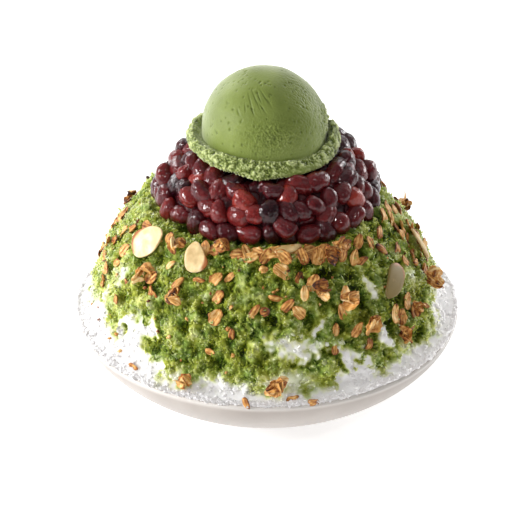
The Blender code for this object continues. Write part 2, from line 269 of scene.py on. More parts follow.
def join(parts):
    """Many (points, faces, values) as one set; values are one number for each point."""
    points, faces, values = [], [], []
    start = 0
    for part_points, part_faces, part_values in parts:
        points.append(part_points)
        faces += [tuple(start + k for k in face) for face in part_faces]
        values.append(np.broadcast_to(part_values, (len(part_points),) + np.shape(part_values)[1:]))
        start += len(part_points)
    return np.vstack(points), faces, np.concatenate(values)


def placed(points, origin, along, normal):
    """Local points (length, width, thickness) set at origin, with their length along and facing normal."""
    z = Vector(normal).normalized()
    x = Vector(along)
    x = (x - z * x.dot(z)).normalized()
    y = z.cross(x)
    return points @ np.array([x, y, z]) + np.array(origin)


# ---------------------------------------------------------------- materials
def glazed_stoneware():
    """Stoneware, thrown and dipped in a satin white glaze: a soft gloss, and a faint warm mottle."""
    material, tree = new_material("glazed_stoneware")
    place = node(tree, "TexCoord").outputs["Object"]
    mottle = node(tree, "TexNoise", {"Vector": place, "Scale": per(18), "Detail": 3.0}).outputs["Fac"]
    colour = node(tree, "ValToRGB", {"Fac": mottle}, stops=((0.35, "#A79D95"), (0.65, "#B1A8A0")))
    # A painted highlight: the glaze is painted paler just under the rim, for the bright line that light makes along
    # the rim's edge.
    height = node(tree, "SeparateXYZ", {"Vector": place}).outputs["Z"]
    rim = node(tree, "MapRange", {
        "Value": height, "From Min": BOWL_HEIGHT - 3 * MM, "From Max": BOWL_HEIGHT - 1 * MM}).outputs["Result"]
    tint = node(tree, "Mix", {0: rim, 6: colour.outputs["Color"], 7: linear("#CFC9C3")}, data_type="RGBA")
    # Real glaze ripples are about 2 mm; drawn at 5 mm so that they show.
    ripple = node(tree, "TexNoise", {"Vector": place, "Scale": per(5), "Detail": 2.0}).outputs["Fac"]
    relief = node(tree, "Bump", {"Height": ripple, "Strength": 0.15, "Distance": 0.2 * MM})
    rough = node(tree, "MapRange", {"Value": mottle, "To Min": 0.28, "To Max": 0.36})
    shader = node(tree, "BsdfPrincipled", {
        "Base Color": tint.outputs[2],
        "Roughness": rough.outputs["Result"],
        "Normal": relief.outputs["Normal"],
        "IOR": 1.5,
    })
    node(tree, "OutputMaterial", {"Surface": shader.outputs["BSDF"]})
    return material


def matcha_tint(tree, place, amount, height):
    """Colour of milk ice by how much syrup it holds and how low it lies: syrup drains off the crumbs
    and stains the hollows, and the hollows are also painted darker as shade.
    """
    patchy = node(tree, "TexNoise", {"Vector": place, "Scale": per(9), "Detail": 4.0}).outputs["Fac"]
    fine = node(tree, "TexNoise", {"Vector": place, "Scale": per(1.8), "Detail": 2.0}).outputs["Fac"]
    # Low places take more colour: partly syrup, and partly painted shade.
    mix = node(tree, "Math", {0: height, 1: 0.45}, operation="MULTIPLY").outputs[0]
    mix = node(tree, "Math", {0: patchy, 1: 0.6, 2: mix}, operation="MULTIPLY_ADD").outputs[0]
    mix = node(tree, "Math", {0: fine, 1: 0.4, 2: mix}, operation="MULTIPLY_ADD").outputs[0]
    syrup_and_shade = node(tree, "MapRange", {
        "Value": mix, "From Min": 0.35, "From Max": 1.0, "To Min": 1.0, "To Max": 0.42}).outputs["Result"]
    soaked = node(tree, "Math", {0: syrup_and_shade, 1: amount}, operation="MULTIPLY").outputs[0]
    warm = node(tree, "ValToRGB", {"Fac": soaked}, stops=(
        (0.0, "#DCDBDA"), (0.12, "#E2E2C0"), (0.34, "#C8CC76"), (0.56, "#929A34"),
        (0.78, "#4C5804"), (0.97, "#1A2000"))).outputs["Color"]
    cool = node(tree, "ValToRGB", {"Fac": soaked}, stops=(
        (0.0, "#DCDBDA"), (0.12, "#DEE4CC"), (0.34, "#B4C484"), (0.56, "#7A9444"),
        (0.78, "#38540E"), (0.97, "#102000"))).outputs["Color"]
    turn = node(tree, "TexNoise", {"Vector": place, "Scale": per(6), "Detail": 3.0}).outputs["Fac"]
    share = node(tree, "MapRange", {
        "Value": turn, "From Min": 0.38, "From Max": 0.66, "To Min": 0.0, "To Max": 0.8}).outputs["Result"]
    return node(tree, "Mix", {0: share, 6: warm, 7: cool}, data_type="RGBA").outputs[2]


def painted_glow(tree, amount):
    """Painted glow: clean milk ice gives out a little light of its own, standing in for light that bounces about
    inside it and fills its hollows; none where syrup soaks it.
    """
    return node(tree, "MapRange", {
        "Value": amount, "From Min": 0.0, "From Max": 0.4, "To Min": 0.14, "To Max": 0.0}).outputs["Result"]


def light_travel(tree, amount):
    """How far light goes inside the ice: a long way where it is clean, and a short way in syrup."""
    return node(tree, "MapRange", {
        "Value": amount, "From Min": 0.0, "From Max": 0.5,
        "To Min": 7 * MM, "To Max": 1.7 * MM}).outputs["Result"]


def shaved_milk_ice():
    """Milk ice shaved to soft flakes, with matcha syrup soaked in: light passes through it, and
    it looks white and powdery where it is bare and wet green where the syrup is. The green is
    painted darker in the hollows as shade, and the clean ice has a painted glow that lifts its shade."""
    material, tree = new_material("shaved_milk_ice")
    place = node(tree, "TexCoord").outputs["Object"]
    amount = node(tree, "Attribute", attribute_name="matcha").outputs["Fac"]
    # Height is low in the hollows, where the green is painted darker as shade.
    height = node(tree, "Attribute", attribute_name="height").outputs["Fac"]
    tint = matcha_tint(tree, place, amount, height)
    # Ice grains are 0.3 to 0.6 mm; drawn at 0.9 mm so that they show.
    grain = node(tree, "TexNoise", {"Vector": place, "Scale": per(0.9), "Detail": 3.0}).outputs["Fac"]
    strength = node(tree, "MapRange", {"Value": amount, "To Min": 0.25, "To Max": 0.6}).outputs["Result"]
    relief = node(tree, "Bump", {"Height": grain, "Strength": strength, "Distance": 0.4 * MM})
    shader = node(tree, "BsdfPrincipled", {
        "Base Color": tint,
        "Roughness": 0.6,
        "IOR": 1.31,
        "Specular IOR Level": 0.2,
        "Normal": relief.outputs["Normal"],
        "Subsurface Weight": 1.0,
        "Subsurface Radius": (1.0, 1.0, 0.95),
        "Subsurface Scale": light_travel(tree, amount),
        # A painted glow: the ice gives out a little light of its own, lifting its shade where it is clean.
        "Emission Color": linear("#FFF9F6"),
        "Emission Strength": painted_glow(tree, amount),
    })
    node(tree, "OutputMaterial", {"Surface": shader.outputs["BSDF"]})
    return material


def ice_crumbs():
    """Loose grains and flakes of the same shaved ice, each with its own share of syrup."""
    material, tree = new_material("ice_crumbs")
    place = node(tree, "TexCoord").outputs["Object"]
    # The tone is the height of the ice under each crumb: low ones are painted darker as shade.
    tone = node(tree, "Attribute", attribute_name="tone").outputs["Fac"]
    soaked = node(tree, "Attribute", attribute_name="matcha").outputs["Fac"]
    shader = node(tree, "BsdfPrincipled", {
        "Base Color": matcha_tint(tree, place, soaked, tone),
        "Roughness": 0.7,
        "IOR": 1.31,
        "Specular IOR Level": 0.1,
        "Subsurface Weight": 1.0,
        "Subsurface Radius": (1.0, 1.0, 0.95),
        "Subsurface Scale": light_travel(tree, soaked),
        # A painted glow: each crumb gives out a little light of its own, lifting its shade where it is clean.
        "Emission Color": linear("#FFF9F6"),
        "Emission Strength": painted_glow(tree, soaked),
    })
    node(tree, "OutputMaterial", {"Surface": shader.outputs["BSDF"]})
    return material


def candied_bean():
    """Red beans boiled in sugar: thin wine-red skins under a wet syrup coat that sparkles."""
    material, tree = new_material("candied_bean")
    place = node(tree, "TexCoord").outputs["Object"]
    tone = node(tree, "Attribute", attribute_name="tone").outputs["Fac"]
    blotch = node(tree, "TexNoise", {"Vector": place, "Scale": per(4), "Detail": 3.0}).outputs["Fac"]
    mix = node(tree, "Math", {0: blotch, 1: 0.5, 2: tone}, operation="MULTIPLY_ADD").outputs[0]
    colour = node(tree, "ValToRGB", {"Fac": mix}, stops=(
        (0.20, "#1F040A"), (0.50, "#480E14"), (0.80, "#701C1A"), (1.0, "#903022")))
    wrinkle = node(tree, "TexNoise", {"Vector": place, "Scale": per(1.9), "Detail": 5.0}).outputs["Fac"]
    relief = node(tree, "Bump", {"Height": wrinkle, "Strength": 1.0, "Distance": 0.9 * MM})
    film = node(tree, "TexNoise", {"Vector": place, "Scale": per(2.0), "Detail": 3.0}).outputs["Fac"]
    ripple = node(tree, "Bump", {"Height": film, "Strength": 1.0, "Distance": 0.45 * MM})
    shader = node(tree, "BsdfPrincipled", {
        "Base Color": colour.outputs["Color"],
        "Roughness": 0.35,
        "IOR": 1.45,
        "Specular IOR Level": 0.08,
        "Normal": relief.outputs["Normal"],
        "Coat Weight": 0.9,
        "Coat Roughness": 0.05,
        "Coat IOR": 1.42,
        "Coat Normal": ripple.outputs["Normal"],
        "Subsurface Weight": 0.25,
        "Subsurface Radius": (1.0, 0.2, 0.15),
        "Subsurface Scale": 1.5 * MM,
    })
    node(tree, "OutputMaterial", {"Surface": shader.outputs["BSDF"]})
    return material


def bean_syrup():
    """Dark sugar syrup that the beans sit in: nearly black, and as glossy as wet glass."""
    material, tree = new_material("bean_syrup")
    place = node(tree, "TexCoord").outputs["Object"]
    streak = node(tree, "TexNoise", {"Vector": place, "Scale": per(6), "Detail": 2.0}).outputs["Fac"]
    colour = node(tree, "ValToRGB", {"Fac": streak}, stops=((0.3, "#1C0508"), (0.7, "#3A0E12")))
    relief = node(tree, "Bump", {"Height": streak, "Strength": 0.4, "Distance": 1.0 * MM})
    shader = node(tree, "BsdfPrincipled", {
        "Base Color": colour.outputs["Color"],
        "Roughness": 0.15,
        "IOR": 1.47,
        "Specular IOR Level": 0.25,
        "Normal": relief.outputs["Normal"],
    })
    node(tree, "OutputMaterial", {"Surface": shader.outputs["BSDF"]})
    return material


def matcha_ice_cream():
    """Churned matcha ice cream, pressed in a disher: matt, dense and a little see-through, with
    tiny air holes, and a frosty skin that goes pale at its edges. Its pits are painted darker as
    shade, and its upper edges are painted paler as haze from the back light."""
    material, tree = new_material("matcha_ice_cream")
    place = node(tree, "TexCoord").outputs["Object"]
    cloud = node(tree, "TexNoise", {"Vector": place, "Scale": per(14), "Detail": 3.0}).outputs["Fac"]
    # The height is lower in the pits and marks, and the colour is painted darker there as shade.
    height = node(tree, "Attribute", attribute_name="height").outputs["Fac"]
    tone = node(tree, "Math", {0: cloud, 1: 0.3, 2: height}, operation="MULTIPLY_ADD").outputs[0]
    colour = node(tree, "ValToRGB", {"Fac": tone}, stops=(
        (0.3, "#404E14"), (0.58, "#68762E"), (0.72, "#7B893F"), (1.0, "#C0C98A")))
    # A painted highlight: the ball is painted paler on its upper left and upper right edges, as haze from the back
    # light, and a little for frosty skin.
    frost = node(tree, "Attribute", attribute_name="frost").outputs["Fac"]
    frosted = node(tree, "Mix", {0: frost, 6: colour.outputs["Color"], 7: linear("#E4E8DE")}, data_type="RGBA")
    # Air holes are about 0.3 mm; drawn at 0.9 mm so that they show.
    grain = node(tree, "TexNoise", {"Vector": place, "Scale": per(0.9), "Detail": 3.0}).outputs["Fac"]
    rough = node(tree, "Attribute", attribute_name="rough").outputs["Fac"]
    strength = node(tree, "MapRange", {"Value": rough, "To Min": 0.2, "To Max": 1.0}).outputs["Result"]
    relief = node(tree, "Bump", {"Height": grain, "Strength": strength, "Distance": 0.7 * MM})
    shader = node(tree, "BsdfPrincipled", {
        "Base Color": frosted.outputs[2],
        "Roughness": 0.5,
        "IOR": 1.35,
        "Normal": relief.outputs["Normal"],
        "Subsurface Weight": 0.35,
        "Subsurface Radius": (1.0, 1.0, 0.5),
        "Subsurface Scale": 1.5 * MM,
        "Sheen Weight": 0.7,
        "Sheen Roughness": 0.36,
        "Sheen Tint": linear("#FAFAEE"),
    })
    node(tree, "OutputMaterial", {"Surface": shader.outputs["BSDF"]})
    return material


def sliced_almond():
    """Raw almond cut in thin slices: waxy cream flesh with a strip of brown skin at its edge."""
    material, tree = new_material("sliced_almond")
    place = node(tree, "TexCoord").outputs["Object"]
    skin = node(tree, "Attribute", attribute_name="skin").outputs["Fac"]
    tone = node(tree, "Attribute", attribute_name="tone").outputs["Fac"]
    cloud = node(tree, "TexNoise", {"Vector": place, "Scale": per(3.5), "Detail": 3.0}).outputs["Fac"]
    mix = node(tree, "Math", {0: cloud, 1: 0.7, 2: tone}, operation="MULTIPLY_ADD").outputs[0]
    # The darkest stop is painted shade, reached by the slice that lies in shade.
    flesh = node(tree, "ValToRGB", {"Fac": mix}, stops=(
        (0.1, "#F0E4C8"), (0.4, "#E2C690"), (0.7, "#C0A068"), (1.0, "#7E6A36"))).outputs["Color"]
    colour = node(tree, "Mix", {0: skin, 6: flesh, 7: linear("#A2602A")}, data_type="RGBA").outputs[2]
    line = node(tree, "TexNoise", {"Vector": place, "Scale": per(1.2), "Detail": 3.0}).outputs["Fac"]
    relief = node(tree, "Bump", {"Height": line, "Strength": 0.25, "Distance": 0.2 * MM})
    shader = node(tree, "BsdfPrincipled", {
        "Base Color": colour,
        "Roughness": 0.45,
        "IOR": 1.47,
        "Normal": relief.outputs["Normal"],
        "Subsurface Weight": 0.3,
        "Subsurface Radius": (1.0, 0.7, 0.4),
        "Subsurface Scale": 1.0 * MM,
    })
    node(tree, "OutputMaterial", {"Surface": shader.outputs["BSDF"]})
    return material


def toasted_oat():
    """Rolled oats baked with sugar: dry and golden, browner in the creases and at the edges."""
    material, tree = new_material("toasted_oat")
    place = node(tree, "TexCoord").outputs["Object"]
    toast = node(tree, "Attribute", attribute_name="toast").outputs["Fac"]
    cloud = node(tree, "TexNoise", {"Vector": place, "Scale": per(1.8), "Detail": 4.0}).outputs["Fac"]
    along = node(tree, "Attribute", attribute_name="along").outputs["Fac"]
    across = node(tree, "Attribute", attribute_name="across").outputs["Fac"]
    flat = node(tree, "CombineXYZ", {"X": along, "Y": across}).outputs["Vector"]
    # Bran ridges lie 0.3 mm apart along an oat; drawn at 1 mm so that they show.
    ridge = node(tree, "TexNoise", {"Vector": flat, "Scale": per(1.0), "Detail": 1.0}).outputs["Fac"]
    mix = node(tree, "Math", {0: ridge, 1: 1.05, 2: toast}, operation="MULTIPLY_ADD").outputs[0]
    mix = node(tree, "Math", {0: cloud, 1: 0.75, 2: mix}, operation="MULTIPLY_ADD").outputs[0]
    mix = node(tree, "Math", {0: mix, 1: 0.46}, operation="SUBTRACT").outputs[0]
    colour = node(tree, "ValToRGB", {"Fac": mix}, stops=(
        (0.12, "#EED098"), (0.42, "#D8A256"), (0.70, "#965416"), (0.95, "#381400")))
    lift = node(tree, "Math", {0: 1.0, 1: mix}, operation="SUBTRACT").outputs[0]
    relief = node(tree, "Bump", {"Height": lift, "Strength": 0.8, "Distance": 0.4 * MM})
    shader = node(tree, "BsdfPrincipled", {
        "Base Color": colour.outputs["Color"],
        "Roughness": 0.55,
        "IOR": 1.45,
        "Normal": relief.outputs["Normal"],
        "Subsurface Weight": 0.15,
        "Subsurface Radius": (1.0, 0.6, 0.3),
        "Subsurface Scale": 0.8 * MM,
    })
    node(tree, "OutputMaterial", {"Surface": shader.outputs["BSDF"]})
    return material


# ---------------------------------------------------------------- bowl
def bowl_radius(depth, inset):
    """Radius of the bowl's curve at a depth below the rim, for the outside or an inset of it."""
    share = min(1.0, depth / (BOWL_CURVE_DEPTH - inset))
    return (BOWL_RADIUS - inset) * sqrt(1 - share ** BOWL_CURVE_POWER)


def bowl_outline():
    """The bowl's profile as (radius, height), from the middle of its floor to under its foot."""
    half = BOWL_WALL / 2
    rim_depth = half
    floor_depth = BOWL_HEIGHT - BOWL_FLOOR
    foot_depth = BOWL_HEIGHT - FOOT_HEIGHT
    inside = [(bowl_radius(d, BOWL_WALL), BOWL_HEIGHT - d)
              for d in np.linspace(floor_depth, rim_depth, 22)]
    floor = [(inside[0][0] * k, BOWL_FLOOR) for k in (0.35, 0.7, 0.92)]
    middle = BOWL_RADIUS - half
    rim = [(middle - half * cos(a), BOWL_HEIGHT - half + half * sin(a))
           for a in np.linspace(0, pi, 11)[1:-1]]
    outside = [(bowl_radius(d, 0), BOWL_HEIGHT - d)
               for d in np.linspace(rim_depth, foot_depth, 26)]
    foot = [
        (FOOT_OUTER_RADIUS + 0.5 * MM, FOOT_HEIGHT * 0.6),
        (FOOT_OUTER_RADIUS, 0.5 * MM),
        (FOOT_OUTER_RADIUS - 0.5 * MM, 0.0),
        (FOOT_INNER_RADIUS + 0.4 * MM, 0.0),
        (FOOT_INNER_RADIUS, 0.3 * MM),
        (FOOT_INNER_RADIUS - 0.4 * MM, FOOT_RECESS),
    ]
    return floor + inside + rim + outside + foot


def make_bowl(material):
    """The dish, turned from its profile."""
    outward, _ = azimuth_directions(BOWL_SEGMENTS)
    rows = np.array([outward * radius + np.array([0, 0, height]) for radius, height in bowl_outline()])
    points, faces = turned(rows, (0, 0, BOWL_FLOOR), (0, 0, FOOT_RECESS))
    make_piece("stoneware_bowl", points, faces, material, "bowl_glaze", ("bowl",))


# ---------------------------------------------------------------- shaved ice
class IceSlope:
    """The surface of the shaved ice: a grid whose rows go down the slope and columns go round."""

    def __init__(self):
        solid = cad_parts["shaved_ice"]
        self.tree = BVHTree.FromPolygons(
            [v.co for v in solid.data.vertices], [p.vertices for p in solid.data.polygons])
        self.hub = Vector((0, 0, BOWL_HEIGHT))
        self.outward, self.azimuth = azimuth_directions(ICE_COLUMNS, 0.25)
        seat = np.array(SEAT_PLACES) * MM
        self.down = np.concatenate([seat, np.linspace(0, SLOPE_LENGTH, ICE_ROWS)])
        self.spacing = np.gradient(self.azimuth)
        self.base = self.smooth_surface(self.row_elevations())
        self.normals = grid_normals(self.base)
        self.add_relief()

    def reach(self, azimuth, elevation):
        """Distance from the hub to the CAD ice in a direction, in radians."""
        direction = Vector((
            sin(azimuth) * cos(elevation), -cos(azimuth) * cos(elevation), sin(elevation)))
        hit = self.tree.ray_cast(self.hub, direction)
        return hit[3] if hit[0] is not None else None

    def row_elevations(self):
        """The elevation from the hub of each row, so that the rows are evenly spaced down the slope."""
        seat_height = ICE_BOX[1].z - BOWL_HEIGHT
        seat_edge = atan2(seat_height - 1.0 * MM, SEAT_RADIUS)
        snow_line = asin(-SNOW_LINE_DEPTH / BOWL_RADIUS)
        angles = np.linspace(radians(57), snow_line, 120)
        means = []
        for angle in angles:
            found = [self.reach(a, angle) for a in np.arange(0, 2 * pi, pi / 18)]
            means.append(np.mean([f for f in found if f]))
        radius, height = means * np.cos(angles), means * np.sin(angles)
        path = np.concatenate([[0], np.cumsum(np.hypot(np.diff(radius), np.diff(height)))])
        start = np.interp(-seat_edge, -angles, path)
        scale = (path[-1] - start) / SLOPE_LENGTH
        return np.interp(start + self.down * scale, path, angles)

    def smooth_surface(self, elevations):
        """The CAD ice with its flat facets rounded off."""
        turns = np.radians(self.azimuth)
        reach = np.array([[self.reach(a, e) or np.nan for a in turns] for e in elevations])
        line = np.nanmean(reach, axis=1, keepdims=True)
        reach = np.where(np.isnan(reach), line, reach)
        reach = soften(reach, 3, 6)
        flat, rise = np.cos(elevations)[:, None], np.sin(elevations)[:, None]
        points = self.outward[None] * (reach * flat)[..., None]
        points[..., 2] = BOWL_HEIGHT + reach * rise
        return points

    def add_relief(self):
        """Lumps, clumps and grains of shaved ice, and the share of matcha at each point."""
        rng = np.random.RandomState(11)
        self.matcha = self.matcha_share()
        lumps = noise_field(self.base, 11 * MM, 1) * 1.3 + noise_field(self.base, 5 * MM, 2) * 0.8
        hollows = np.maximum(noise_field(self.base, 8 * MM, 12) - 0.15, 0) * 4.0
        clumps = self.domes(rng, 2600, (1.6, 3.4), 1.3)
        crumbs = self.domes(rng, 10000, (0.8, 1.7), 0.8) + noise_field(self.base, 1.5 * MM, 3) * 0.4
        wet = smooth(0.1, 0.6, self.matcha)
        lumps = lumps + noise_field(self.base, 3.6 * MM, 13) * 1.7 * (1 - wet)
        relief = lumps - hollows * 1.15 * wet + clumps + crumbs * (0.4 + 0.6 * wet) - 1.6
        fade = 1 - 0.55 * smooth(56, 66, self.down / MM)[:, None]
        self.relief = relief * fade * MM
        # Relative height: low in the hollows, where the green is painted darker as shade and holds more syrup.
        self.height = np.clip(0.5 + (relief - soften(relief, 9, 9)) / 3.0 - hollows * 0.14, 0, 1)
        self.points = self.base + self.normals * self.relief[..., None]
        # Loose ice banks up against the rim.
        heights = 2.1 + sum(
            rise * np.exp(-(around(self.azimuth, place) / reach) ** 2) for place, reach, rise in SNOW_BANKS)
        self.bank = heights[None] * MM * smooth(60, 68, self.down / MM)[:, None]
        self.points[..., 2] += self.bank
        self.spread_to_rim()

    def domes(self, rng, count, sizes, rise):
        """Height of many small rounded clumps in mm; where they overlap the highest shows."""
        rows, columns = self.base.shape[:2]
        row_step = SLOPE_LENGTH / (ICE_ROWS - 1) / MM
        field = np.zeros((rows, columns))
        for _ in range(count):
            row = rng.randint(0, rows)
            column = self.column(rng.uniform(0, 360))
            radius = rng.uniform(*sizes)
            column_step = radians(self.spacing[column]) * hypot(*self.base[row, column, :2]) / MM
            stretch, lean = rng.uniform(0.6, 1.0), rng.uniform(0, pi)
            high, wide = ceil(radius / row_step), ceil(radius / column_step)
            near_rows = np.arange(max(0, row - high), min(rows, row + high + 1))
            near_columns = np.arange(column - wide, column + wide + 1)
            y = (near_rows - row)[:, None] * row_step
            x = (near_columns - column)[None] * column_step
            along = x * cos(lean) + y * sin(lean)
            across = (y * cos(lean) - x * sin(lean)) / stretch
            left = 1 - (along ** 2 + across ** 2) / radius ** 2
            dome = np.maximum(left, 0) ** 0.75 * rise * radius / sizes[1] * rng.uniform(0.6, 1.25)
            window = np.ix_(near_rows, near_columns % columns)
            field[window] = np.maximum(field[window], dome)
        return field

    def patch(self, azimuth, down, half_width, half_height, lean):
        """1 in the middle of an oval patch, falling to 0 at its edge and below 0 outside."""
        radius = np.linalg.norm(self.base[..., :2], axis=2) / MM
        x = np.radians(around(self.azimuth, azimuth))[None] * radius
        y = down - self.down[:, None] / MM
        turn = radians(lean)
        along = (x * cos(turn) + y * sin(turn)) / half_width
        across = (y * cos(turn) - x * sin(turn)) / half_height
        return 1 - np.sqrt(along ** 2 + across ** 2)

    def matcha_share(self):
        """0 where the milk ice is bare and 1 where it is soaked with matcha."""
        places, edges = zip(*MATCHA_EDGE)
        wander = noise_field(self.base, 8 * MM, 8) * 8 + noise_field(self.base, 3 * MM, 9) * 5
        edge = np.interp(around(self.azimuth[None] + wander, 0), places, edges)
        ragged = noise_field(self.base, 7 * MM, 4) * 4.5 + noise_field(self.base, 2.6 * MM, 5) * 3.0
        share = smooth(-5.0, 5.0, edge - self.down[:, None] / MM + ragged)
        # Painted light: the green is made paler on the side where the key light falls.
        share = share * (1 - 0.18 * np.exp(-(around(self.azimuth, PAINTED_LIGHT_SIDE) / 26) ** 2))[None]
        crumbly = noise_field(self.base, 2.4 * MM, 6) * 0.9
        for *place, strength in MATCHA_PATCHES:
            share = np.maximum(share, smooth(-0.2, 0.5, self.patch(*place) + crumbly * 0.5) * strength)
        for *place, strength in BARE_PATCHES:
            bare = smooth(-0.35, 0.75, self.patch(*place) + crumbly * 0.8) * strength
            share = share * (1 - bare)
        thin = smooth(0.1, 0.8, noise_field(self.base, 6 * MM, 7) + 0.25 * crumbly) * 0.45
        share = share * (1 - thin)
        for *place, strength in SYRUP_POOLS:
            share = share * (1 + strength * smooth(-0.3, 0.8, self.patch(*place) + crumbly * 0.3))
        return np.clip(share, 0, 1.3)

    def spread_to_rim(self):
        """Spreads the lowest ice over the top of the rim, and stops it short of the rim's edge."""
        low = smooth(61, 66, self.down / MM)[:, None]
        radius = np.linalg.norm(self.points[..., :2], axis=2)
        uneven = noise_field(self.points, 4 * MM, 14) * 0.6 * MM
        limit = BOWL_RADIUS - 1.2 * MM + np.minimum(uneven, 0.3 * MM)
        along = np.linspace(0, 1, len(self.down))[:, None]
        wanted = np.where(low > 0, radius + (limit - radius) * low * along, radius)
        wanted = np.where(self.points[..., 2] < BOWL_HEIGHT + 3 * MM, np.minimum(wanted, limit), wanted)
        self.points[..., :2] *= (wanted / radius)[..., None]
        rim = (BOWL_HEIGHT + 0.4 * MM + uneven * 0.5) * low
        self.points[..., 2] = np.maximum(self.points[..., 2], rim)

    def column(self, azimuth):
        """The column at an azimuth."""
        return int(np.searchsorted(self.azimuth, azimuth % 360)) % ICE_COLUMNS

    def index(self, azimuth, down):
        """Row and column of a place, given in degrees and metres."""
        row = int(np.clip(np.searchsorted(self.down, down), 1, len(self.down) - 2))
        return row, self.column(azimuth)

    def spot(self, azimuth, down, width=3 * MM):
        """A resting place: a point on top of the crumbs under a topping, the normal, and the way up."""
        row, column = self.index(azimuth, down)
        reach = max(1, round(width / 2 / (0.6 * MM)))
        rows = np.clip(np.arange(row - reach, row + reach + 1), 0, len(self.down) - 1)
        columns = np.arange(column - reach, column + reach + 1) % ICE_COLUMNS
        lift = np.percentile(self.relief[np.ix_(rows, columns)], 75)
        normal = self.normals[np.ix_(rows, columns)].mean(axis=(0, 1))
        normal = Vector(normal).normalized()
        uphill = Vector((0, 0, 1))
        uphill = (uphill - normal * uphill.dot(normal)).normalized()
        place = Vector(self.points[row, column])
        return place + normal * float(lift - self.relief[row, column]), normal, uphill


def make_ice(slope, material):
    """The heap of shaved ice, closed down into the bowl."""
    # Below the snow line the ice reaches just into the bowl's wall, so that no gap shows.
    depths = np.array([2.5, 7, 13, 21, 30]) * MM
    inside = np.array([
        slope.outward * bowl_radius(d, BOWL_WALL * 0.6) + np.array([0, 0, BOWL_HEIGHT - d]) for d in depths])
    rows = np.concatenate([slope.points, inside])
    top = (0, 0, slope.points[0, :, 2].mean())
    points, faces = turned(rows, top, (0, 0, BOWL_HEIGHT - depths[-1]))
    hidden = np.zeros(inside.shape[:2])
    make_piece(
        "shaved_milk_ice", points, faces, material, "white_snow", ("shaved_ice",),
        matcha=np.concatenate([slope.matcha.ravel(), hidden.ravel(), [1, 0]]),
        height=np.concatenate([slope.height.ravel(), hidden.ravel() + 0.5, [0.5, 0.5]]),
    )


def grain_kinds(rng, count):
    """Small irregular chunks, 1 across."""
    kinds = []
    for _ in range(count):
        points, faces = loft(1, 4, lambda u, turn: np.stack(
            [u, np.cos(turn) * (1 - u * u), np.sin(turn) * (1 - u * u)], axis=-1))
        kinds.append((points * rng.uniform(0.35, 0.62, 3) + rng.normal(0, 0.08, points.shape), faces))
    return kinds


def soft_grain_kinds(rng, count):
    """Small rounded grains, 1 across."""
    kinds = []
    for _ in range(count):
        points, faces = loft(2, 6, lambda u, turn: np.stack(
            [u, np.cos(turn) * (1 - u * u) ** 0.5, np.sin(turn) * (1 - u * u) ** 0.5], axis=-1))
        kinds.append((points * rng.uniform(0.38, 0.55, 3) + rng.normal(0, 0.03, points.shape), faces))
    return kinds


def shaving_kinds(rng, count):
    """Thin bent flakes as a blade shaves them, 1 long."""
    kinds = []
    for _ in range(count):
        bend, twist = rng.uniform(0.15, 0.55), rng.uniform(-0.9, 0.9)
        wide, thick = rng.uniform(0.16, 0.30), rng.uniform(0.06, 0.12)

        def curl(u, turn):
            body = np.sqrt(np.maximum(1 - u * u, 0.0))
            y = wide * body * np.cos(turn + twist * u)
            z = thick * body * np.sin(turn + twist * u) - bend * (u * u - 0.4)
            return np.stack([u * 0.6, y, z], axis=-1)

        points, faces = loft(3, 4, curl)
        kinds.append((points + rng.normal(0, 0.03, points.shape), faces))
    return kinds


def random_turns(rng, count):
    """Random rotation matrices."""
    q = rng.normal(0, 1, (count, 4))
    q /= np.linalg.norm(q, axis=1, keepdims=True)
    w, x, y, z = q.T
    return np.stack([
        np.stack([1 - 2 * (y * y + z * z), 2 * (x * y - w * z), 2 * (x * z + w * y)], axis=1),
        np.stack([2 * (x * y + w * z), 1 - 2 * (x * x + z * z), 2 * (y * z - w * x)], axis=1),
        np.stack([2 * (x * z - w * y), 2 * (y * z + w * x), 1 - 2 * (x * x + y * y)], axis=1),
    ], axis=1)


def scatter(kinds, rng, places, sizes):
    """Copies of the kinds at the places, each turned at random; returns points, faces, owner."""
    points, faces, owner = [], [], []
    start = 0
    which = rng.randint(0, len(kinds), len(places))
    turns = random_turns(rng, len(places))
    for number, (kind_points, kind_faces) in enumerate(kinds):
        chosen = np.nonzero(which == number)[0]
        made = np.einsum("nij,kj->nki", turns[chosen], kind_points)
        made = made * sizes[chosen, None, None] + places[chosen, None]
        size = len(kind_points)
        points.append(made.reshape(-1, 3))
        owner.append(np.repeat(chosen, size))
        for copy in range(len(chosen)):
            base = start + copy * size
            faces += [tuple(base + k for k in face) for face in kind_faces]
        start += size * len(chosen)
    return np.vstack(points), faces, np.concatenate(owner)


def make_crumbs(slope, material, name, kinds, wants_matcha, count, sizes, seed):
    """Loose crumbs of shaved ice that lie on the heap, stained as the ice under them is and painted with its shade."""
    rng = np.random.RandomState(seed)
    rows, columns = slope.relief.shape
    places, tones_and_shade, soaked = [], [], []
    while len(places) < count:
        row = rng.randint(2, rows - 1)
        if not wants_matcha and rng.uniform() < 0.22:
            row = rng.randint(rows - 7, rows - 1)
        column = slope.column(rng.uniform(0, 360))
        share = slope.matcha[row, column]
        radius = hypot(*slope.base[row, column, :2])
        if rng.uniform() > radius / BOWL_RADIUS or (share > 0.35) != wants_matcha:
            continue
        places.append(slope.points[row, column] + slope.normals[row, column] * rng.uniform(-0.1, 0.4) * MM)
        # Each crumb takes the height of the ice under it, so that it is painted darker as shade in the hollows.
        tones_and_shade.append(slope.height[row, column] + rng.uniform(-0.1, 0.25))
        soaked.append(share * rng.uniform(0.85, 1.1))
    lengths = rng.triangular(*sizes, count) * MM
    points, faces, owner = scatter(kinds(rng, 20), rng, np.array(places), lengths)
    piece = make_piece(name, points, faces, material, "matcha_green" if wants_matcha else "white_snow",
                       tone=np.clip(np.array(tones_and_shade), 0, 1)[owner], matcha=np.clip(np.array(soaked), 0, 1)[owner])
    if wants_matcha:
        piece.data.shade_flat()


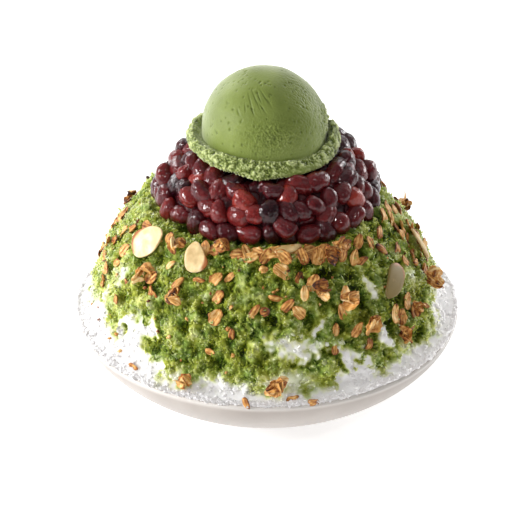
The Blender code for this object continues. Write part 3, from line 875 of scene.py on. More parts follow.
# ---------------------------------------------------------------- red beans
def bean_ball(level):
    """Points and faces of a unit ball that a bean is formed from."""
    ball = bmesh.new()
    bmesh.ops.create_icosphere(ball, subdivisions=level, radius=1.0)
    points = np.array([v.co for v in ball.verts])
    faces = [tuple(v.index for v in f.verts) for f in ball.faces]
    ball.free()
    return points, faces


def bean_form(ball, rng, length, width, thickness):
    """One cooked bean: barrel-shaped, bent towards its eye, with a slack and wrinkled skin."""
    seed = rng.uniform(0, 50)
    blunt = np.sign(ball) * np.abs(ball) ** 0.93
    skin = noise_field(ball, 0.9, seed) * 0.09 - np.abs(noise_field(ball, 0.45, seed + 3)) * 0.07
    skin += noise_field(ball, 0.2, seed + 5) * 0.02
    split = rng.random() < 0.3
    if split:
        seam = np.exp(-((ball[:, 1] - rng.uniform(-0.3, 0.3) - 0.25 * ball[:, 0]) / 0.1) ** 2)
        skin -= seam * 0.10 * smooth(-0.2, 0.5, ball[:, 2])
    eye = np.exp(-(ball[:, 0] / 0.35) ** 2 - ((ball[:, 1] - 0.9) / 0.5) ** 2)
    skin -= eye * 0.12
    form = blunt * (1 + skin)[:, None] * np.array([length, width, thickness]) / 2
    form[:, 1] += rng.uniform(0.0, 0.13) * width * (1 - 2 * (form[:, 0] / length * 2) ** 2)
    form[:, 1:] *= (1 + rng.uniform(-0.12, 0.12) * form[:, 0] / length * 2)[:, None]
    return form


class BeanHeap:
    """The outline of the heap of beans, as a grid read from its CAD solid."""

    def __init__(self):
        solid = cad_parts["red_beans"]
        self.tree = BVHTree.FromPolygons(
            [v.co for v in solid.data.vertices], [p.vertices for p in solid.data.polygons])
        self.hub = Vector((0, 0, BEAN_BOX[0].z + 1 * MM))
        self.low = atan2(1.5 * MM, SEAT_RADIUS)
        self.high = atan2(BEAN_BOX[1].z - self.hub.z, 39 * MM)

    def spot(self, azimuth, share):
        """A point on the heap and its outward direction; share is 0 at the foot and 1 at the top."""
        elevation = self.low + (self.high - self.low) * share
        turn = radians(azimuth)
        found = []
        for step in (-0.09, 0.0, 0.09):
            for tilt in (-0.05, 0.0, 0.05):
                angle = elevation + tilt
                direction = Vector((
                    sin(turn + step) * cos(angle), -cos(turn + step) * cos(angle), sin(angle)))
                hit = self.tree.ray_cast(self.hub, direction)
                if hit[0] is not None:
                    found.append(hit[3])
        direction = Vector((sin(turn) * cos(elevation), -cos(turn) * cos(elevation), sin(elevation)))
        return self.hub + direction * (sum(found) / len(found)), direction


def spread(rng, count, tries, distance_to, first=()):
    """Best-candidate places: each new one is the farthest of several from those before it."""
    places = list(first)
    spots = [distance_to(place) for place in places]
    while len(places) < count:
        options = []
        for _ in range(tries):
            option = (rng.uniform(-180, 180), rng.uniform(0, 1))
            spot = distance_to(option)
            nearest = min(((spot - s).length for s in spots), default=1.0)
            options.append((nearest, option, spot))
        _, option, spot = max(options, key=lambda o: o[0])
        places.append(option)
        spots.append(spot)
    return places


def make_beans(heap, bean_material, syrup_material):
    """Whole beans in an uneven layer over the syrup, and smaller parts of beans in the gaps."""
    rng = random.Random(23)
    fine, coarse = bean_ball(4), bean_ball(3)
    parts = []
    foot = [(k * 360 / 32 + rng.uniform(-2.5, 2.5), rng.uniform(0.0, 0.06)) for k in range(32)]
    outer = spread(rng, 112, 24, lambda o: heap.spot(*o)[0], foot)
    for azimuth, share in outer:
        point, outward = heap.spot(azimuth, share)
        point = point + outward * (1.6 * MM if share < 0.07 else 0.0)
        length = rng.uniform(11.0, 14.2) * MM
        width = length * rng.uniform(0.70, 0.84)
        thickness = width * rng.uniform(0.88, 1.05)
        lean = rng.gauss(0, 50)
        side = outward.cross(Vector((0, 0, 1))).normalized()
        up = side.cross(outward).normalized()
        along = side * cos(radians(lean)) + up * sin(radians(lean)) + outward * rng.uniform(-0.35, 0.35)
        normal = outward + side * rng.uniform(-0.5, 0.5) + up * rng.uniform(-0.5, 0.5)
        depth = thickness * 0.5 + rng.uniform(-1.0, 2.2) * MM
        form = bean_form(fine[0], rng, length, width, thickness)
        tone = min(0.75, max(0.0, rng.gauss(0.28, 0.17)))
        parts.append((placed(form, point - outward * depth, along, normal), fine[1], tone))
    for azimuth, share in spread(rng, 90, 12, lambda o: heap.spot(*o)[0]):
        point, outward = heap.spot(azimuth, share)
        length = rng.uniform(8.5, 11) * MM
        form = bean_form(coarse[0], rng, length, length * 0.72, length * 0.66)
        along = Vector((rng.gauss(0, 1), rng.gauss(0, 1), rng.gauss(0, 1)))
        parts.append((placed(form, point - outward * 8.5 * MM, along, outward), coarse[1], rng.uniform(0.05, 0.3)))
    points, faces, tone = join(parts)
    make_piece("candied_red_beans", points, faces, bean_material, "red_bean", ("red_beans",), tone=tone)
    make_syrup(heap, syrup_material)


def make_syrup(heap, material):
    """The dark mass of syrup and mashed bean behind the whole beans."""
    outward, azimuths = azimuth_directions(120)
    shares = np.linspace(1, 0, 16)
    rows = np.array([[heap.spot(a, s)[0] - heap.spot(a, s)[1] * 6.0 * MM for a in azimuths] for s in shares])
    rows = rows + grid_normals(rows) * (noise_field(rows, 5 * MM, 9) * 1.2 * MM)[..., None]
    foot = rows[-1].copy()
    foot[:, 2] = BEAN_BOX[0].z + 0.2 * MM
    foot[:, :2] *= 0.97
    rows = np.concatenate([rows, foot[None]])
    points, faces = turned(rows, (0, 0, rows[0, :, 2].mean()), (0, 0, BEAN_BOX[0].z + 0.2 * MM))
    make_piece("bean_syrup", points, faces, material, "red_bean")


# ---------------------------------------------------------------- ice cream
SCOOP_RADIUS = 29 * MM
SCOOP_CENTRE = Vector((-1.5 * MM, 0, SCOOP_BOX[1].z - SCOOP_RADIUS))
SCOOP_COLUMNS = 420
BALL_ROWS = 132
SKIRT_ROWS = 56
GROOVE_DROP = 2.3 * MM
SKIRT_TILT = 0.085
# The disher's rim leaves the skirt: (distance out from the ball, height from the groove), in mm.
SKIRT_FRONT = ((0.0, -0.3), (0.35, -1.1), (0.9, -0.7), (2.4, -1.4), (4.2, -3.2), (5.2, -5.2), (4.5, -6.8), (2.6, -7.6))
SKIRT_LEFT = ((0.0, -3.4), (1.7, -3.3), (3.4, -1.6), (4.9, -0.9), (6.5, -2.3), (6.9, -4.6), (5.6, -6.8), (3.2, -7.6))
SKIRT_RIGHT = ((0.0, 0.6), (0.5, 0.4), (1.2, 2.6), (3.2, 5.6), (5.4, 3.6), (6.4, -0.6), (5.4, -4.4), (3.0, -5.6))


def curve_through(controls, count):
    """Points on a smooth curve through the controls, evenly spread."""
    controls = np.array(controls)
    padded = np.concatenate([2 * controls[:1] - controls[1:2], controls, 2 * controls[-1:] - controls[-2:-1]])
    spans = len(controls) - 1
    at = np.linspace(0, spans, count)
    span = np.minimum(at.astype(int), spans - 1)
    t = (at - span).reshape(-1, *[1] * (controls.ndim - 1))
    a, b, c, d = (padded[span + k] for k in range(4))
    return 0.5 * (2 * b + (c - a) * t + (2 * a - 5 * b + 4 * c - d) * t ** 2 + (3 * b - a - 3 * c + d) * t ** 3)


def scoop_rows():
    """The smooth scoop: ball, groove and skirt, before any roughness."""
    outward, azimuths = azimuth_directions(SCOOP_COLUMNS, 0.4)
    centre = np.array(SCOOP_CENTRE)
    end = pi / 2 + asin(GROOVE_DROP / SCOOP_RADIUS)
    polar = np.linspace(0, end, BALL_ROWS + 1)[1:]
    rows = [centre + outward * SCOOP_RADIUS * sin(p) + np.array([0, 0, SCOOP_RADIUS * cos(p)]) for p in polar]
    lift = -SKIRT_TILT * outward[:, 0] * SCOOP_RADIUS
    right = np.exp(-(around(azimuths, 95) / 26) ** 2)
    left = np.exp(-(around(azimuths, -88) / 48) ** 2)
    lobe = np.exp(-(around(azimuths, -6) / 8) ** 2)
    groove = centre[2] - GROOVE_DROP
    start = SCOOP_RADIUS * cos(asin(GROOVE_DROP / SCOOP_RADIUS))
    controls = []
    for number, sections in enumerate(zip(SKIRT_FRONT, SKIRT_LEFT, SKIRT_RIGHT)):
        shares = (1 - left - right, left, right)
        reach, height = (sum(share * section[axis] for share, section in zip(shares, sections)) * MM
                         for axis in (0, 1))
        if number == 6:
            height = height - lobe * 1.2 * MM
            reach = reach + lobe * 1.2 * MM
        ring = centre + outward * (start + reach)[:, None]
        ring[:, 2] = np.maximum(groove + height + lift, SCOOP_BOX[0].z)
        controls.append(ring)
    rows += list(curve_through(controls, SKIRT_ROWS))
    return np.array(rows), azimuths


def make_scoop(material):
    """The scoop with its pits, drag marks, granular patch and crumbly torn skirt."""
    rng = np.random.RandomState(5)
    rows, azimuths = scoop_rows()
    count = len(rows)
    normals = grid_normals(rows)
    place = np.arange(count)[:, None] * np.ones((1, SCOOP_COLUMNS))
    polar = place / BALL_ROWS * 94.5
    turn = around(azimuths, 0)[None] * np.ones((count, 1))
    skirt = smooth(BALL_ROWS - 2, BALL_ROWS + 6, place)
    fine = noise_field(rows, 1.3 * MM, 21)
    cells = noise_field(rows, 0.9 * MM, 25, "VORONOI_F1")
    tears = noise_field(rows, 2.4 * MM, 26, "VORONOI_F1")
    medium = noise_field(rows, 3.0 * MM, 22)
    broad = noise_field(rows, 9.0 * MM, 23)
    patch = np.exp(-((turn - 12) / 30) ** 2 - ((polar - 74) / 14) ** 2)
    grainy_right = np.exp(-((turn - 62) / 24) ** 2 - ((polar - 42) / 22) ** 2)
    torn = np.exp(-((turn - 92) / 22) ** 2 - ((polar - 80) / 16) ** 2)
    rough = np.clip(patch * 0.8 + grainy_right * 0.5 + torn * 1.6 + 0.05, 0, 1.6)
    relief = broad * 0.25 + rough * (0.15 - cells * 0.55 - np.abs(fine) * 0.3 + medium * 0.2)
    relief = relief + torn * (np.maximum(medium, 0) * 1.6 + 0.5)
    relief = relief * (1 - skirt)
    crumbly = 0.4 - cells * 0.5 - tears * 0.4 - np.abs(fine) * 0.7 + medium * 0.6 + broad * 0.7
    crumbly = crumbly * (0.25 + 0.75 * smooth(BALL_ROWS + 8, BALL_ROWS + 22, place))
    lip = np.exp(-((turn - 35) / 24) ** 2) * smooth(BALL_ROWS + 26, BALL_ROWS + 34, place)
    relief = relief + skirt * crumbly * (1 - 0.8 * lip)
    relief += scoop_marks(rng, polar, turn) * (1 - skirt)
    # The relative height, lower in the pits and marks; the finish uses it to paint the colour darker there as shade.
    pits = np.clip(0.5 + (relief - soften(relief, 4, 5)) * (0.45 + 0.35 * skirt), 0, 1)
    rough = np.clip(rough * 0.6 * (1 - skirt) + skirt * (1 - 0.8 * lip), 0, 1)
    pits = np.clip(pits + 0.08 * skirt, 0, 1)
    rows = rows + normals * (relief * MM)[..., None]
    rows[..., 2] = np.clip(rows[..., 2], SCOOP_BOX[0].z - 1.0 * MM, SCOOP_BOX[1].z)
    outward = (rows - np.array(SCOOP_CENTRE)) / SCOOP_RADIUS
    # Painted highlight: paler towards the given directions, as haze from the back light on the ball's upper edges, and
    # a little for frosty skin.
    frost = np.zeros_like(pits)
    for *way, inner, outer, strength in FROST_AND_HAZE:
        frost = np.maximum(frost, smooth(outer, inner, outward @ np.array(way)) * strength)
    frost = np.clip(frost * (1 - skirt), 0, 1)
    under = rows[-1].copy()
    middle = np.array(SCOOP_CENTRE.xy)
    under[:, :2] = middle + (under[:, :2] - middle) * 0.8
    under[:, 2] = SCOOP_BOX[0].z
    rows = np.concatenate([rows, under[None]])
    top = SCOOP_CENTRE + Vector((0, 0, SCOOP_RADIUS))
    points, faces = turned(rows, top, (SCOOP_CENTRE.x, 0, SCOOP_BOX[0].z))
    make_piece("matcha_scoop", points, faces, material, "matcha_green", ("ice_cream",),
               height=np.concatenate([pits.ravel(), np.full(SCOOP_COLUMNS + 2, 0.5)]),
               frost=np.concatenate([frost.ravel(), np.zeros(SCOOP_COLUMNS), [frost[0].mean(), 0]]),
               rough=np.concatenate([rough.ravel(), np.full(SCOOP_COLUMNS + 2, 0.5)]))


# Where the ball is painted paler, as haze from the back light and a little for frosty skin: a direction
# from the ball's centre, how near to it the paleness is full and where it ends, as cosines, and its strength.
FROST_AND_HAZE = ((0.25, 0.85, 0.46, 0.95, 0.42, 0.12), (-0.93, 0.20, 0.30, 1.0, 0.55, 0.12))

# Drag marks where the disher caught the surface: azimuth, polar angle, length, width (degrees), lean.
DRAG_MARKS = (
    (-18, 42, 8, 0.7, 26), (-12, 38, 11, 0.7, 30), (-7, 36, 6, 0.6, 24), (2, 36, 9, 0.7, 28),
    (-23, 48, 4, 0.6, 18), (-2, 46, 6, 0.6, 34), (-14, 49, 4, 0.6, 30), (7, 40, 4, 0.6, 22),
    (-30, 53, 3, 0.9, 40), (-50, 48, 2.5, 1.0, 60),
)


def scoop_marks(rng, polar, turn):
    """Depth in mm of the drag marks and of the small pits that air leaves."""
    depth = np.zeros_like(polar)
    shrink = np.sin(np.radians(np.maximum(polar, 5)))
    for azimuth, at, length, width, lean in DRAG_MARKS:
        x = (turn - azimuth) * shrink
        y = polar - at
        along = (y * cos(radians(lean)) + x * sin(radians(lean))) / length
        across = (x * cos(radians(lean)) - y * sin(radians(lean))) / width
        depth -= 0.3 * np.exp(-along ** 2 - across ** 2)
    for _ in range(300):
        azimuth, at = rng.uniform(-180, 180), rng.uniform(15, 92)
        size = rng.uniform(0.5, 1.2)
        x = around(turn, azimuth) * shrink
        depth -= rng.uniform(0.15, 0.5) * np.exp(-(x / size) ** 2 - ((polar - at) / size) ** 2)
    return depth


# ---------------------------------------------------------------- almonds and granola
def solid_axes(node_name):
    """Middle, long axis, outward normal and three sizes of a flat CAD solid."""
    points = np.array([v.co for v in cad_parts[node_name].data.vertices])
    middle = (points.max(axis=0) + points.min(axis=0)) / 2
    points = points - points.mean(axis=0)
    _, vectors = np.linalg.eigh(points.T @ points)
    thin, wide, long = vectors.T
    outward = np.array([middle[0], middle[1], 30 * MM])
    if thin @ outward < 0:
        thin = -thin
    across = points @ long
    broad = points @ wide
    if np.ptp(broad[across > 0]) > np.ptp(broad[across < 0]):
        long = -long
    sizes = [np.ptp(points @ axis) for axis in (long, wide, thin)]
    return middle, long, thin, sizes


def almond_form(rng, number, length, width, thickness):
    """A slice of almond: one end round and one pointed, flat faces, and a strip of skin."""
    bow = rng.uniform(0.2, 0.7) * MM
    skin_middle, skin_reach = SKIN_EDGES.get(number, (rng.uniform(-180, 180), rng.uniform(30, 60)))
    phase = rng.uniform(0, 6)

    def shape(u, turn):
        body = np.maximum(1 - np.abs(u) ** 2.5, 0) ** 0.58 * (1 - 0.30 * u - 0.1 * u * u)
        y = np.sign(np.cos(turn)) * np.abs(np.cos(turn)) ** 0.55 * body * width / 2
        y = y * (1 + 0.05 * np.sin(3 * u + phase))
        flat = np.sign(np.sin(turn)) * np.abs(np.sin(turn)) ** 0.4
        z = flat * np.maximum(1 - np.abs(u) ** 9, 0) ** 0.5 * thickness / 2
        z = z - bow * (u ** 2 + (2 * y / width) ** 2 * 0.5 - 0.4)
        z = z + 0.07 * MM * np.sin(2 * y / width * 8 + 2 * u + phase * 2) * flat
        y = y + 0.35 * MM * np.sin(u * 4 + phase * 3)
        return np.stack([u * length / 2, y, z], axis=-1)

    points, faces = loft(27, 40, shape)
    edge = np.hypot(points[:, 0] / (length / 2), points[:, 1] / (width / 2))
    turn = np.degrees(np.arctan2(points[:, 1] / width, points[:, 0] / length))
    away = np.abs(around(turn, skin_middle))
    skin = smooth(0.80, 0.95, edge) * (1 - smooth(skin_reach - 12, skin_reach + 12, away))
    return points, faces, skin


# Where a strip of skin is left on a slice, as (degrees from its tip, half its reach in degrees).
SKIN_EDGES = {1: (140, 60), 2: (-100, 50), 3: (175, 50)}
# Slices broken shorter than their solid.
SHORTER = {2: 0.86, 3: 0.92, 4: 0.7}
# Slices that lie with their narrow end down the slope, and how far they are raised to clear the ice.
NARROW_END_DOWN = {3: 1.8 * MM}


def make_almonds(material):
    """Each almond slice at its CAD solid's place."""
    # Slice 3's tone is painted darker as the shade it lies in; the other tones are the slices' own.
    tones_and_shade = {1: 0.02, 2: 0.16, 3: 0.92, 4: 0.3}
    for name in sorted(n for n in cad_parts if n.startswith("almond_slice")):
        number = int(name.split("_")[-1])
        rng = random.Random(100 + number)
        middle, long, thin, sizes = solid_axes(name)
        if number in NARROW_END_DOWN:
            long = -long
            outward = np.array([middle[0], middle[1], 0])
            middle = middle + outward / np.linalg.norm(outward) * NARROW_END_DOWN[number]
        length, width = sizes[0] * SHORTER.get(number, 1.0), sizes[1] * SHORTER.get(number, 1.0)
        points, faces, skin = almond_form(rng, number, length, width, min(1.3 * MM, sizes[2]))
        points = placed(points, middle, long, thin)
        tone = tones_and_shade.get(number, rng.uniform(0, 0.5)) + noise_field(points, 5 * MM, number) * 0.25
        make_piece(name.replace("almond_slice", "sliced_almond"), points, faces, material, "almond",
                   (name,), skin=skin, tone=tone)


def oat_form(rng, length, width, curl, fold, detail=(13, 14)):
    """A baked oat: a wide one is a thin flake, ridged, ragged and curled; a slim one is a puffed grain."""
    puff = float(smooth(1.5, 2.2, length / width))
    thickness = rng.uniform(0.7, 1.0) * MM * (1 + 1.2 * puff)
    cup = curl * rng.uniform(0.6, 1.3) * (1 - 0.6 * puff)
    bow = curl * rng.uniform(-0.8, 1.0)
    ridges = rng.uniform(0.10, 0.22) * MM * (1 - 0.7 * puff)
    crease = rng.uniform(0.1, 0.45) * MM * (1 - 0.5 * puff)
    seed = rng.uniform(0, 90)

    def shape(u, turn):
        body = np.maximum(1 - np.abs(u) ** 2.0, 0) ** 0.6 * (1 - 0.16 * u)
        ragged = 1 + (0.06 * np.sin(3.1 * turn + 5 * u + seed) + 0.07 * np.sin(9 * u + seed * 2)) * (1 - puff)
        y = np.cos(turn) * body * ragged * width / 2
        across = 2 * y / width
        z = np.sign(np.sin(turn)) * np.abs(np.sin(turn)) ** 0.7 * thickness / 2 * np.sqrt(body)
        upper = np.sin(turn) > 0
        z = z - upper * crease * np.exp(-(across / 0.16) ** 2) * body
        z = z + upper * ridges * np.cos(across * 13 + seed) * body
        z = z + cup * across ** 2 * width * 0.5 + bow * u ** 2 * length * 0.3
        bend = fold * across * np.abs(across)
        z = z + np.sin(bend) * width * 0.35 + 0.25 * MM * np.sin(4 * u + seed)
        return np.stack([u * length / 2, y * np.cos(bend * 0.7), z], axis=-1)

    points, faces = loft(*detail, shape)
    warp = noise_field(points, 3.5 * MM, seed) * 0.7 * MM * (1 - 0.5 * puff)
    points[:, 2] += warp
    points_along, points_across = points[:, 0], points[:, 1]
    edge = np.hypot(points_along / length * 2, points_across / width * 2)
    groove = np.exp(-(points_across / width * 2 / 0.14) ** 2)
    tip = smooth(0.6, 1.0, points[:, 0] / length * 2)
    toast = 0.12 * smooth(0.75, 1.05, edge) + 0.40 * crease / MM * groove + 0.12 * tip
    flat = np.stack([toast, points_along / 6 + seed * MM, points_across], axis=1)
    return points, faces, flat


def make_clusters(material):
    """Each granola cluster: a few curled oats baked together, at its CAD solid's place."""
    for name in sorted(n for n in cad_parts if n.startswith("granola_cluster")):
        number = int(name.split("_")[-1])
        rng = random.Random(200 + number)
        middle, long, thin, sizes = solid_axes(name)
        long, thin = Vector(long), Vector(thin)
        wide = thin.cross(long)
        count = 6 if sizes[0] < 13 * MM else 9
        brown = rng.uniform(-0.05, 0.25)
        parts = []
        for flake in range(count):
            step = (flake + 0.5) / count - 0.5
            centre = Vector(middle) + long * step * (sizes[0] - 6 * MM) * 1.15
            centre += wide * rng.uniform(-0.3, 0.3) * max(0.0, sizes[1] - 4 * MM)
            centre += thin * rng.uniform(-0.6, 2.2) * MM
            size = rng.uniform(5.2, 8.8) * MM
            points, faces, flat = oat_form(
                rng, size, size * rng.uniform(0.45, 0.75), rng.uniform(0.3, 1.2), rng.uniform(-1.5, 1.5))
            along = long * rng.gauss(0.5, 0.6) + wide * rng.gauss(0, 0.8)
            normal = thin + long * rng.gauss(0, 0.8) + wide * rng.gauss(0, 0.8)
            shade = (brown + rng.uniform(-0.25, 0.25), 0, 0)
            parts.append((placed(points, centre, along, normal), faces, flat + shade))
        points, faces, flat = join(parts)
        make_piece(name.replace("granola_cluster", "baked_oats"), points, faces, material, "toasted_oat",
                   (name,), toast=flat[:, 0], along=flat[:, 1], across=flat[:, 2])


# Single oats at the front: azimuth, mm down, length mm, width mm, turn, tilt on edge, brown.
FRONT_OATS = (
    (-77, 42, 8.5, 6.0, 20, 10, 0.15), (-80, 23, 7.0, 4.5, 40, 20, 0.2), (-70, 28, 7.5, 4.5, 30, 15, 0.05),
    (-61, 40, 6.0, 4.0, 80, 25, 0.1), (-45, 28, 7.5, 4.5, -35, 20, 0.2), (-19, 21, 7.5, 5.5, 60, 5, 0.1),
    (-18, 30, 8.5, 6.0, 65, 5, 0.0), (-21, 14, 8.0, 5.0, 55, 10, 0.05), (-12, 36, 6.5, 3.0, 85, 40, 0.25),
    (-19, 45, 5.5, 3.4, 0, 10, 0.05), (-10, 0.5, 8.5, 4.6, 120, 30, 0.0), (-16, 12, 7.0, 3.2, 50, 20, 0.0),
    (-44, 62, 7.0, 3.6, 10, 10, 0.05), (-6, 65, 7.0, 3.2, -70, 15, 0.1), (13, 66, 6.0, 4.5, -20, 10, 0.15),
    (24, 37, 6.5, 3.6, 80, 15, 0.05), (22, 45, 5.0, 4.5, 80, 10, 0.1), (-5, 26, 8.0, 3.6, 55, 20, 0.05),
    (-1, 26, 5.0, 4.5, 20, 30, 0.3), (3, 20, 8.0, 3.0, -20, 45, 0.1), (7, 24, 9.5, 4.4, 50, 50, 0.15),
    (13, 12, 6.0, 4.5, 70, 30, 0.3), (13.6, 19, 7.5, 4.0, 80, 10, -0.15), (-14, 2, 7.5, 5.0, 10, 20, 0.1),
    (-2, 8, 4.5, 3.6, 10, 10, 0.0), (-5, 0.5, 9.0, 5.5, 150, 20, 0.1), (-28, 16, 6.5, 2.8, 10, 40, 0.15),
    (-42, 14, 7.0, 3.0, 45, 40, -0.1), (-58, 30, 3.5, 3.0, 0, 10, 0.25), (57, 12.5, 8.5, 3.8, -65, 15, 0.25),
    (67, 17, 7.0, 4.5, 30, 20, 0.2), (43, 12, 7.0, 3.2, 25, 50, 0.25), (76, 35, 8.5, 4.0, -70, 40, 0.1),
    (72, 29, 6.5, 3.5, -40, 30, 0.1), (6, 9, 9.6, 7.2, -45, 5, -0.05), (50, 42, 8.0, 6.0, 60, 5, 0.1),
    (40, 9, 8.5, 5.0, 60, 30, 0.0), (7, 63, 6.5, 3.4, 10, 30, 0.1), (34, 47, 6.5, 5.0, 60, 20, 0.2),
    (-24, 1, 9.5, 6.0, 35, 20, 0.1), (-8, 3, 8.5, 5.0, 20, 30, -0.05), (20, 1, 9.5, 6.5, 10, 20, 0.1),
    (3, 1, 9.5, 6.0, 20, 30, 0.0), (7, 3, 9.0, 5.5, 130, 25, 0.1), (12, 1, 9.5, 6.0, 30, 30, -0.05),
    (16, 3.5, 8.5, 5.0, 100, 35, 0.15), (23, 4.5, 9.5, 6.5, 70, 30, 0.05), (-30, 1.5, 8.5, 5.0, 120, 30, 0.0),
    (47, 39, 9.5, 6.5, 60, 5, -0.05), (56, 38, 10.0, 6.5, 20, 10, 0.0), (58, 44, 9.0, 5.0, 70, 30, 0.1),
    (72, 3, 9.0, 5.5, 50, 30, 0.0), (78, 7, 8.5, 5.0, 80, 35, -0.05), (82, 15, 9.0, 5.5, 30, 40, 0.0),
    (88, 22, 9.0, 5.5, 60, 40, 0.05), (83, 29, 9.5, 6.0, 40, 35, -0.05), (90, 33, 9.0, 5.5, 80, 40, 0.0),
    (76, 16, 8.0, 4.5, 100, 30, 0.05), (-79, 17, 9.0, 5.5, 60, 30, -0.05), (-84, 27, 9.0, 5.5, 30, 35, 0.0),
    (-75, 34, 9.0, 6.0, 10, 15, 0.1), (-70, 21, 8.5, 5.0, 70, 25, 0.0), (-48, 22, 9.0, 5.5, 50, 20, 0.1),
    (27, 30, 8.0, 5.5, 100, 20, 0.0), (31, 39, 8.5, 5.0, 40, 20, 0.05), (18, 15, 8.5, 6.0, 60, 15, 0.0),
    (26, 2.5, 10.0, 6.5, 30, 20, 0.05), (29, 5, 10.0, 6.0, 100, 30, 0.1), (35, 6, 9.0, 5.0, 60, 30, 0.1),
    (38, 3, 8.0, 5.0, 20, 40, 0.2), (-1, 2.5, 8.5, 5.0, 60, 30, 0.2), (46, 4, 8.0, 4.5, 50, 30, 0.1),
    (52, 7, 8.0, 5.0, 110, 30, 0.1), (84, 4, 8.0, 4.5, 60, 30, 0.1), (90, 10, 9.0, 5.0, 30, 20, 0.0),
    (80, 12, 8.5, 5.0, 80, 30, 0.2), (88, 18, 8.0, 5.0, 10, 40, 0.1), (78, 20, 7.5, 5.0, 50, 20, 0.15),
    (84, 25, 9.0, 5.0, 70, 35, 0.05), (92, 28, 8.0, 5.0, 20, 30, 0.2), (75, 26, 7.0, 4.0, 10, 30, 0.1),
    (86, 34, 8.5, 5.5, 45, 30, 0.1), (80, 40, 8.0, 5.0, 75, 30, 0.2), (62, 6, 7.0, 4.0, 40, 20, 0.1),
    (66, 24, 6.5, 4.0, 100, 20, 0.1), (-64, 16, 7.5, 3.2, 40, 20, 0.05), (-66, 6, 6.5, 5.0, 20, 20, 0.1),
    (-49, 4, 6.0, 4.0, 80, 30, 0.1), (-52, 20, 6.0, 3.0, 10, 30, 0.0), (-36, 20, 8.5, 3.4, 60, 20, 0.1),
    (-74, 12, 7.5, 4.5, 60, 20, 0.1), (-82, 33, 8.0, 5.5, 30, 20, 0.1), (11, 27, 7.5, 5.5, 130, 20, 0.0),
)


def make_loose_oats(slope, material):
    """Single oats that lie where they fell, listed at the front and seeded at the back."""
    rng = random.Random(77)
    oats = list(FRONT_OATS)
    for _ in range(64):
        oats.append((
            rng.uniform(96, 270), rng.triangular(1, 66, 30), rng.uniform(5.5, 8.8), rng.uniform(3, 5.6),
            rng.uniform(0, 180), rng.uniform(0, 45), rng.uniform(-0.1, 0.3)))
    parts = []
    for azimuth, down, length, width, turn, tilt, brown in oats:
        point, normal, uphill = slope.spot(azimuth, down * MM, width * MM)
        side = uphill.cross(normal)
        along = side * cos(radians(turn)) + uphill * sin(radians(turn))
        facing = normal * cos(radians(tilt)) - uphill * sin(radians(tilt)) * 0.6 + side * rng.uniform(-0.2, 0.2)
        curl = rng.uniform(0.1, 0.45)
        points, faces, flat = oat_form(rng, length * MM, width * MM, curl, rng.uniform(-0.5, 0.5))
        parts.append((placed(points, point + normal * 0.5 * MM, along, facing), faces, flat + (brown, 0, 0)))
    points, faces, flat = join(parts)
    make_piece("loose_oats", points, faces, material, "toasted_oat",
               toast=flat[:, 0], along=flat[:, 1], across=flat[:, 2])


def make_oat_bits(slope, material):
    """Broken bits of oat between the larger ones."""
    rng = np.random.RandomState(31)
    places = []
    for _ in range(110):
        point, normal, _ = slope.spot(rng.uniform(-180, 180), rng.triangular(0, 18, 66) * MM, 1 * MM)
        places.append(point + normal * 0.3 * MM)
    sizes = rng.triangular(0.9, 1.6, 3.2, len(places)) * MM
    points, faces, owner = scatter(grain_kinds(rng, 12), rng, np.array(places), sizes)
    make_piece("oat_bits", points, faces, material, "toasted_oat", toast=rng.uniform(-0.1, 0.45, len(places))[owner],
               along=points[:, 0], across=points[:, 2])


# ---------------------------------------------------------------- studio
def matt_paper():
    """Matt white paper sweep: no gloss, and a faint fibre mottle."""
    material, tree = new_material("matt_paper")
    place = node(tree, "TexCoord").outputs["Object"]
    fibre = node(tree, "TexNoise", {"Vector": place, "Scale": per(40), "Detail": 2.0}).outputs["Fac"]
    colour = node(tree, "ValToRGB", {"Fac": fibre}, stops=((0.3, "#D6D6D6"), (0.7, "#DCDCDC")))
    shader = node(tree, "BsdfPrincipled", {
        "Base Color": colour.outputs["Color"],
        "Roughness": 0.9,
        "Specular IOR Level": 0.1,
        "Emission Color": linear("#FFFFFF"),
        "Emission Strength": 0.66,
    })
    node(tree, "OutputMaterial", {"Surface": shader.outputs["BSDF"]})
    return material


def make_floor():
    """A wide pale floor that fills the view."""
    half = 4.0
    mesh = bpy.data.meshes.new("floor")
    mesh.from_pydata([(-half, -half, 0), (half, -half, 0), (half, half, 0), (-half, half, 0)], [], [(0, 1, 2, 3)])
    mesh.materials.append(matt_paper())
    floor = bpy.data.objects.new("floor", mesh)
    bpy.context.scene.collection.objects.link(floor)


def soft_light(name, place, size, power, colour="#FFFFFF"):
    """A square soft box that faces the dish."""
    lamp = bpy.data.lights.new(name, "AREA")
    lamp.shape = "SQUARE"
    lamp.size = size
    lamp.energy = power
    lamp.color = linear(colour)[:3]
    box = bpy.data.objects.new(name, lamp)
    box.location = place
    aim = Vector((0, 0, BOWL_HEIGHT * 2)) - Vector(place)
    box.rotation_euler = aim.to_track_quat("-Z", "Y").to_euler()
    bpy.context.scene.collection.objects.link(box)


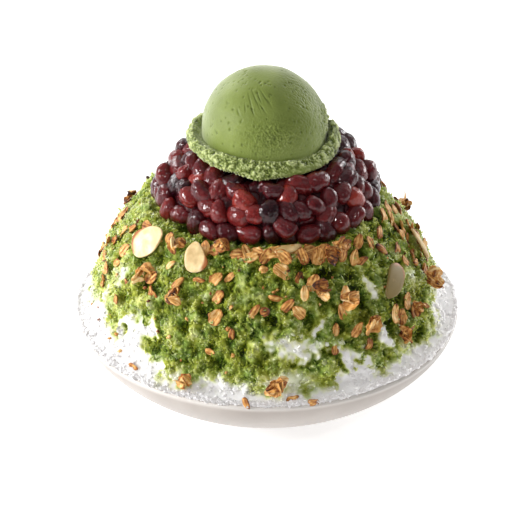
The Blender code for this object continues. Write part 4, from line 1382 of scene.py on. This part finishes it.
def light_studio():
    """A white room, a key soft box on the left, and two soft boxes behind that edge the forms."""
    world = bpy.data.worlds.new("white_room")
    world.use_nodes = True
    tree = world.node_tree
    tree.nodes.clear()
    # The room is bright behind the dish and on its left, and dim in front, as round a product table.
    direction = node(tree, "TexCoord").outputs["Generated"]
    facing = node(tree, "VectorMath", {0: direction, 1: (-0.22, 0.84, 0.48)}, operation="DOT_PRODUCT")
    strength = node(tree, "MapRange", {
        "Value": facing.outputs["Value"], "From Min": -0.7, "From Max": 0.9,
        "To Min": 0.08, "To Max": 0.5}).outputs["Result"]
    glow = node(tree, "Background", {"Color": linear("#FCFDFF"), "Strength": strength})
    node(tree, "OutputWorld", {"Surface": glow.outputs["Background"]})
    bpy.context.scene.world = world
    soft_light("key_left", (-1.25, -0.3, 0.55), 0.3, 18.5)
    soft_light("edge_left", (-0.75, 0.95, 0.85), 0.5, 9)
    soft_light("edge_right", (1.1, 0.75, 0.42), 0.4, 7.5)
    soft_light("haze_right", (0.5, 0.95, 0.95), 0.5, 2.5)
    soft_light("overhead", (-0.1, 0.5, 1.5), 1.2, 0.8)
    soft_light("sparkle_left", (-0.5, -0.7, 0.9), 0.05, 2.4)
    soft_light("sparkle_right", (0.45, -0.8, 0.9), 0.05, 1.5)
    bpy.context.scene.view_settings.view_transform = "Standard"


def set_camera():
    """A long lens, nearly thirty degrees above the table, from the front."""
    elevation, distance = radians(29.5), 1.0175
    target = Vector((-3.33 * MM, 0, CAD_BOX[1].z * 0.4))
    camera_data = bpy.data.cameras.new("camera")
    camera_data.lens = 146.4
    camera_data.sensor_width = 36
    camera = bpy.data.objects.new("camera", camera_data)
    camera.location = target + Vector((0, -cos(elevation), sin(elevation))) * distance
    camera.rotation_euler = (target - camera.location).to_track_quat("-Z", "Y").to_euler()
    bpy.context.scene.collection.objects.link(camera)
    bpy.context.scene.camera = camera


# ---------------------------------------------------------------- the dish
set_camera()
light_studio()
make_floor()
make_bowl(glazed_stoneware())
ice = IceSlope()
make_ice(ice, shaved_milk_ice())
crumb_finish = ice_crumbs()
make_crumbs(ice, crumb_finish, "matcha_ice_crumbs", grain_kinds, True, 15000, (0.7, 1.1, 1.9), 41)
make_crumbs(ice, crumb_finish, "matcha_ice_shavings", shaving_kinds, True, 3600, (1.4, 2.0, 3.4), 42)
make_crumbs(ice, crumb_finish, "milk_ice_crumbs", soft_grain_kinds, False, 2400, (0.9, 1.5, 2.8), 43)
make_crumbs(ice, crumb_finish, "milk_ice_shavings", shaving_kinds, False, 500, (1.4, 2.2, 3.4), 44)
make_beans(BeanHeap(), candied_bean(), bean_syrup())
make_scoop(matcha_ice_cream())
make_almonds(sliced_almond())
oat_finish = toasted_oat()
make_clusters(oat_finish)
make_loose_oats(ice, oat_finish)
make_oat_bits(ice, oat_finish)
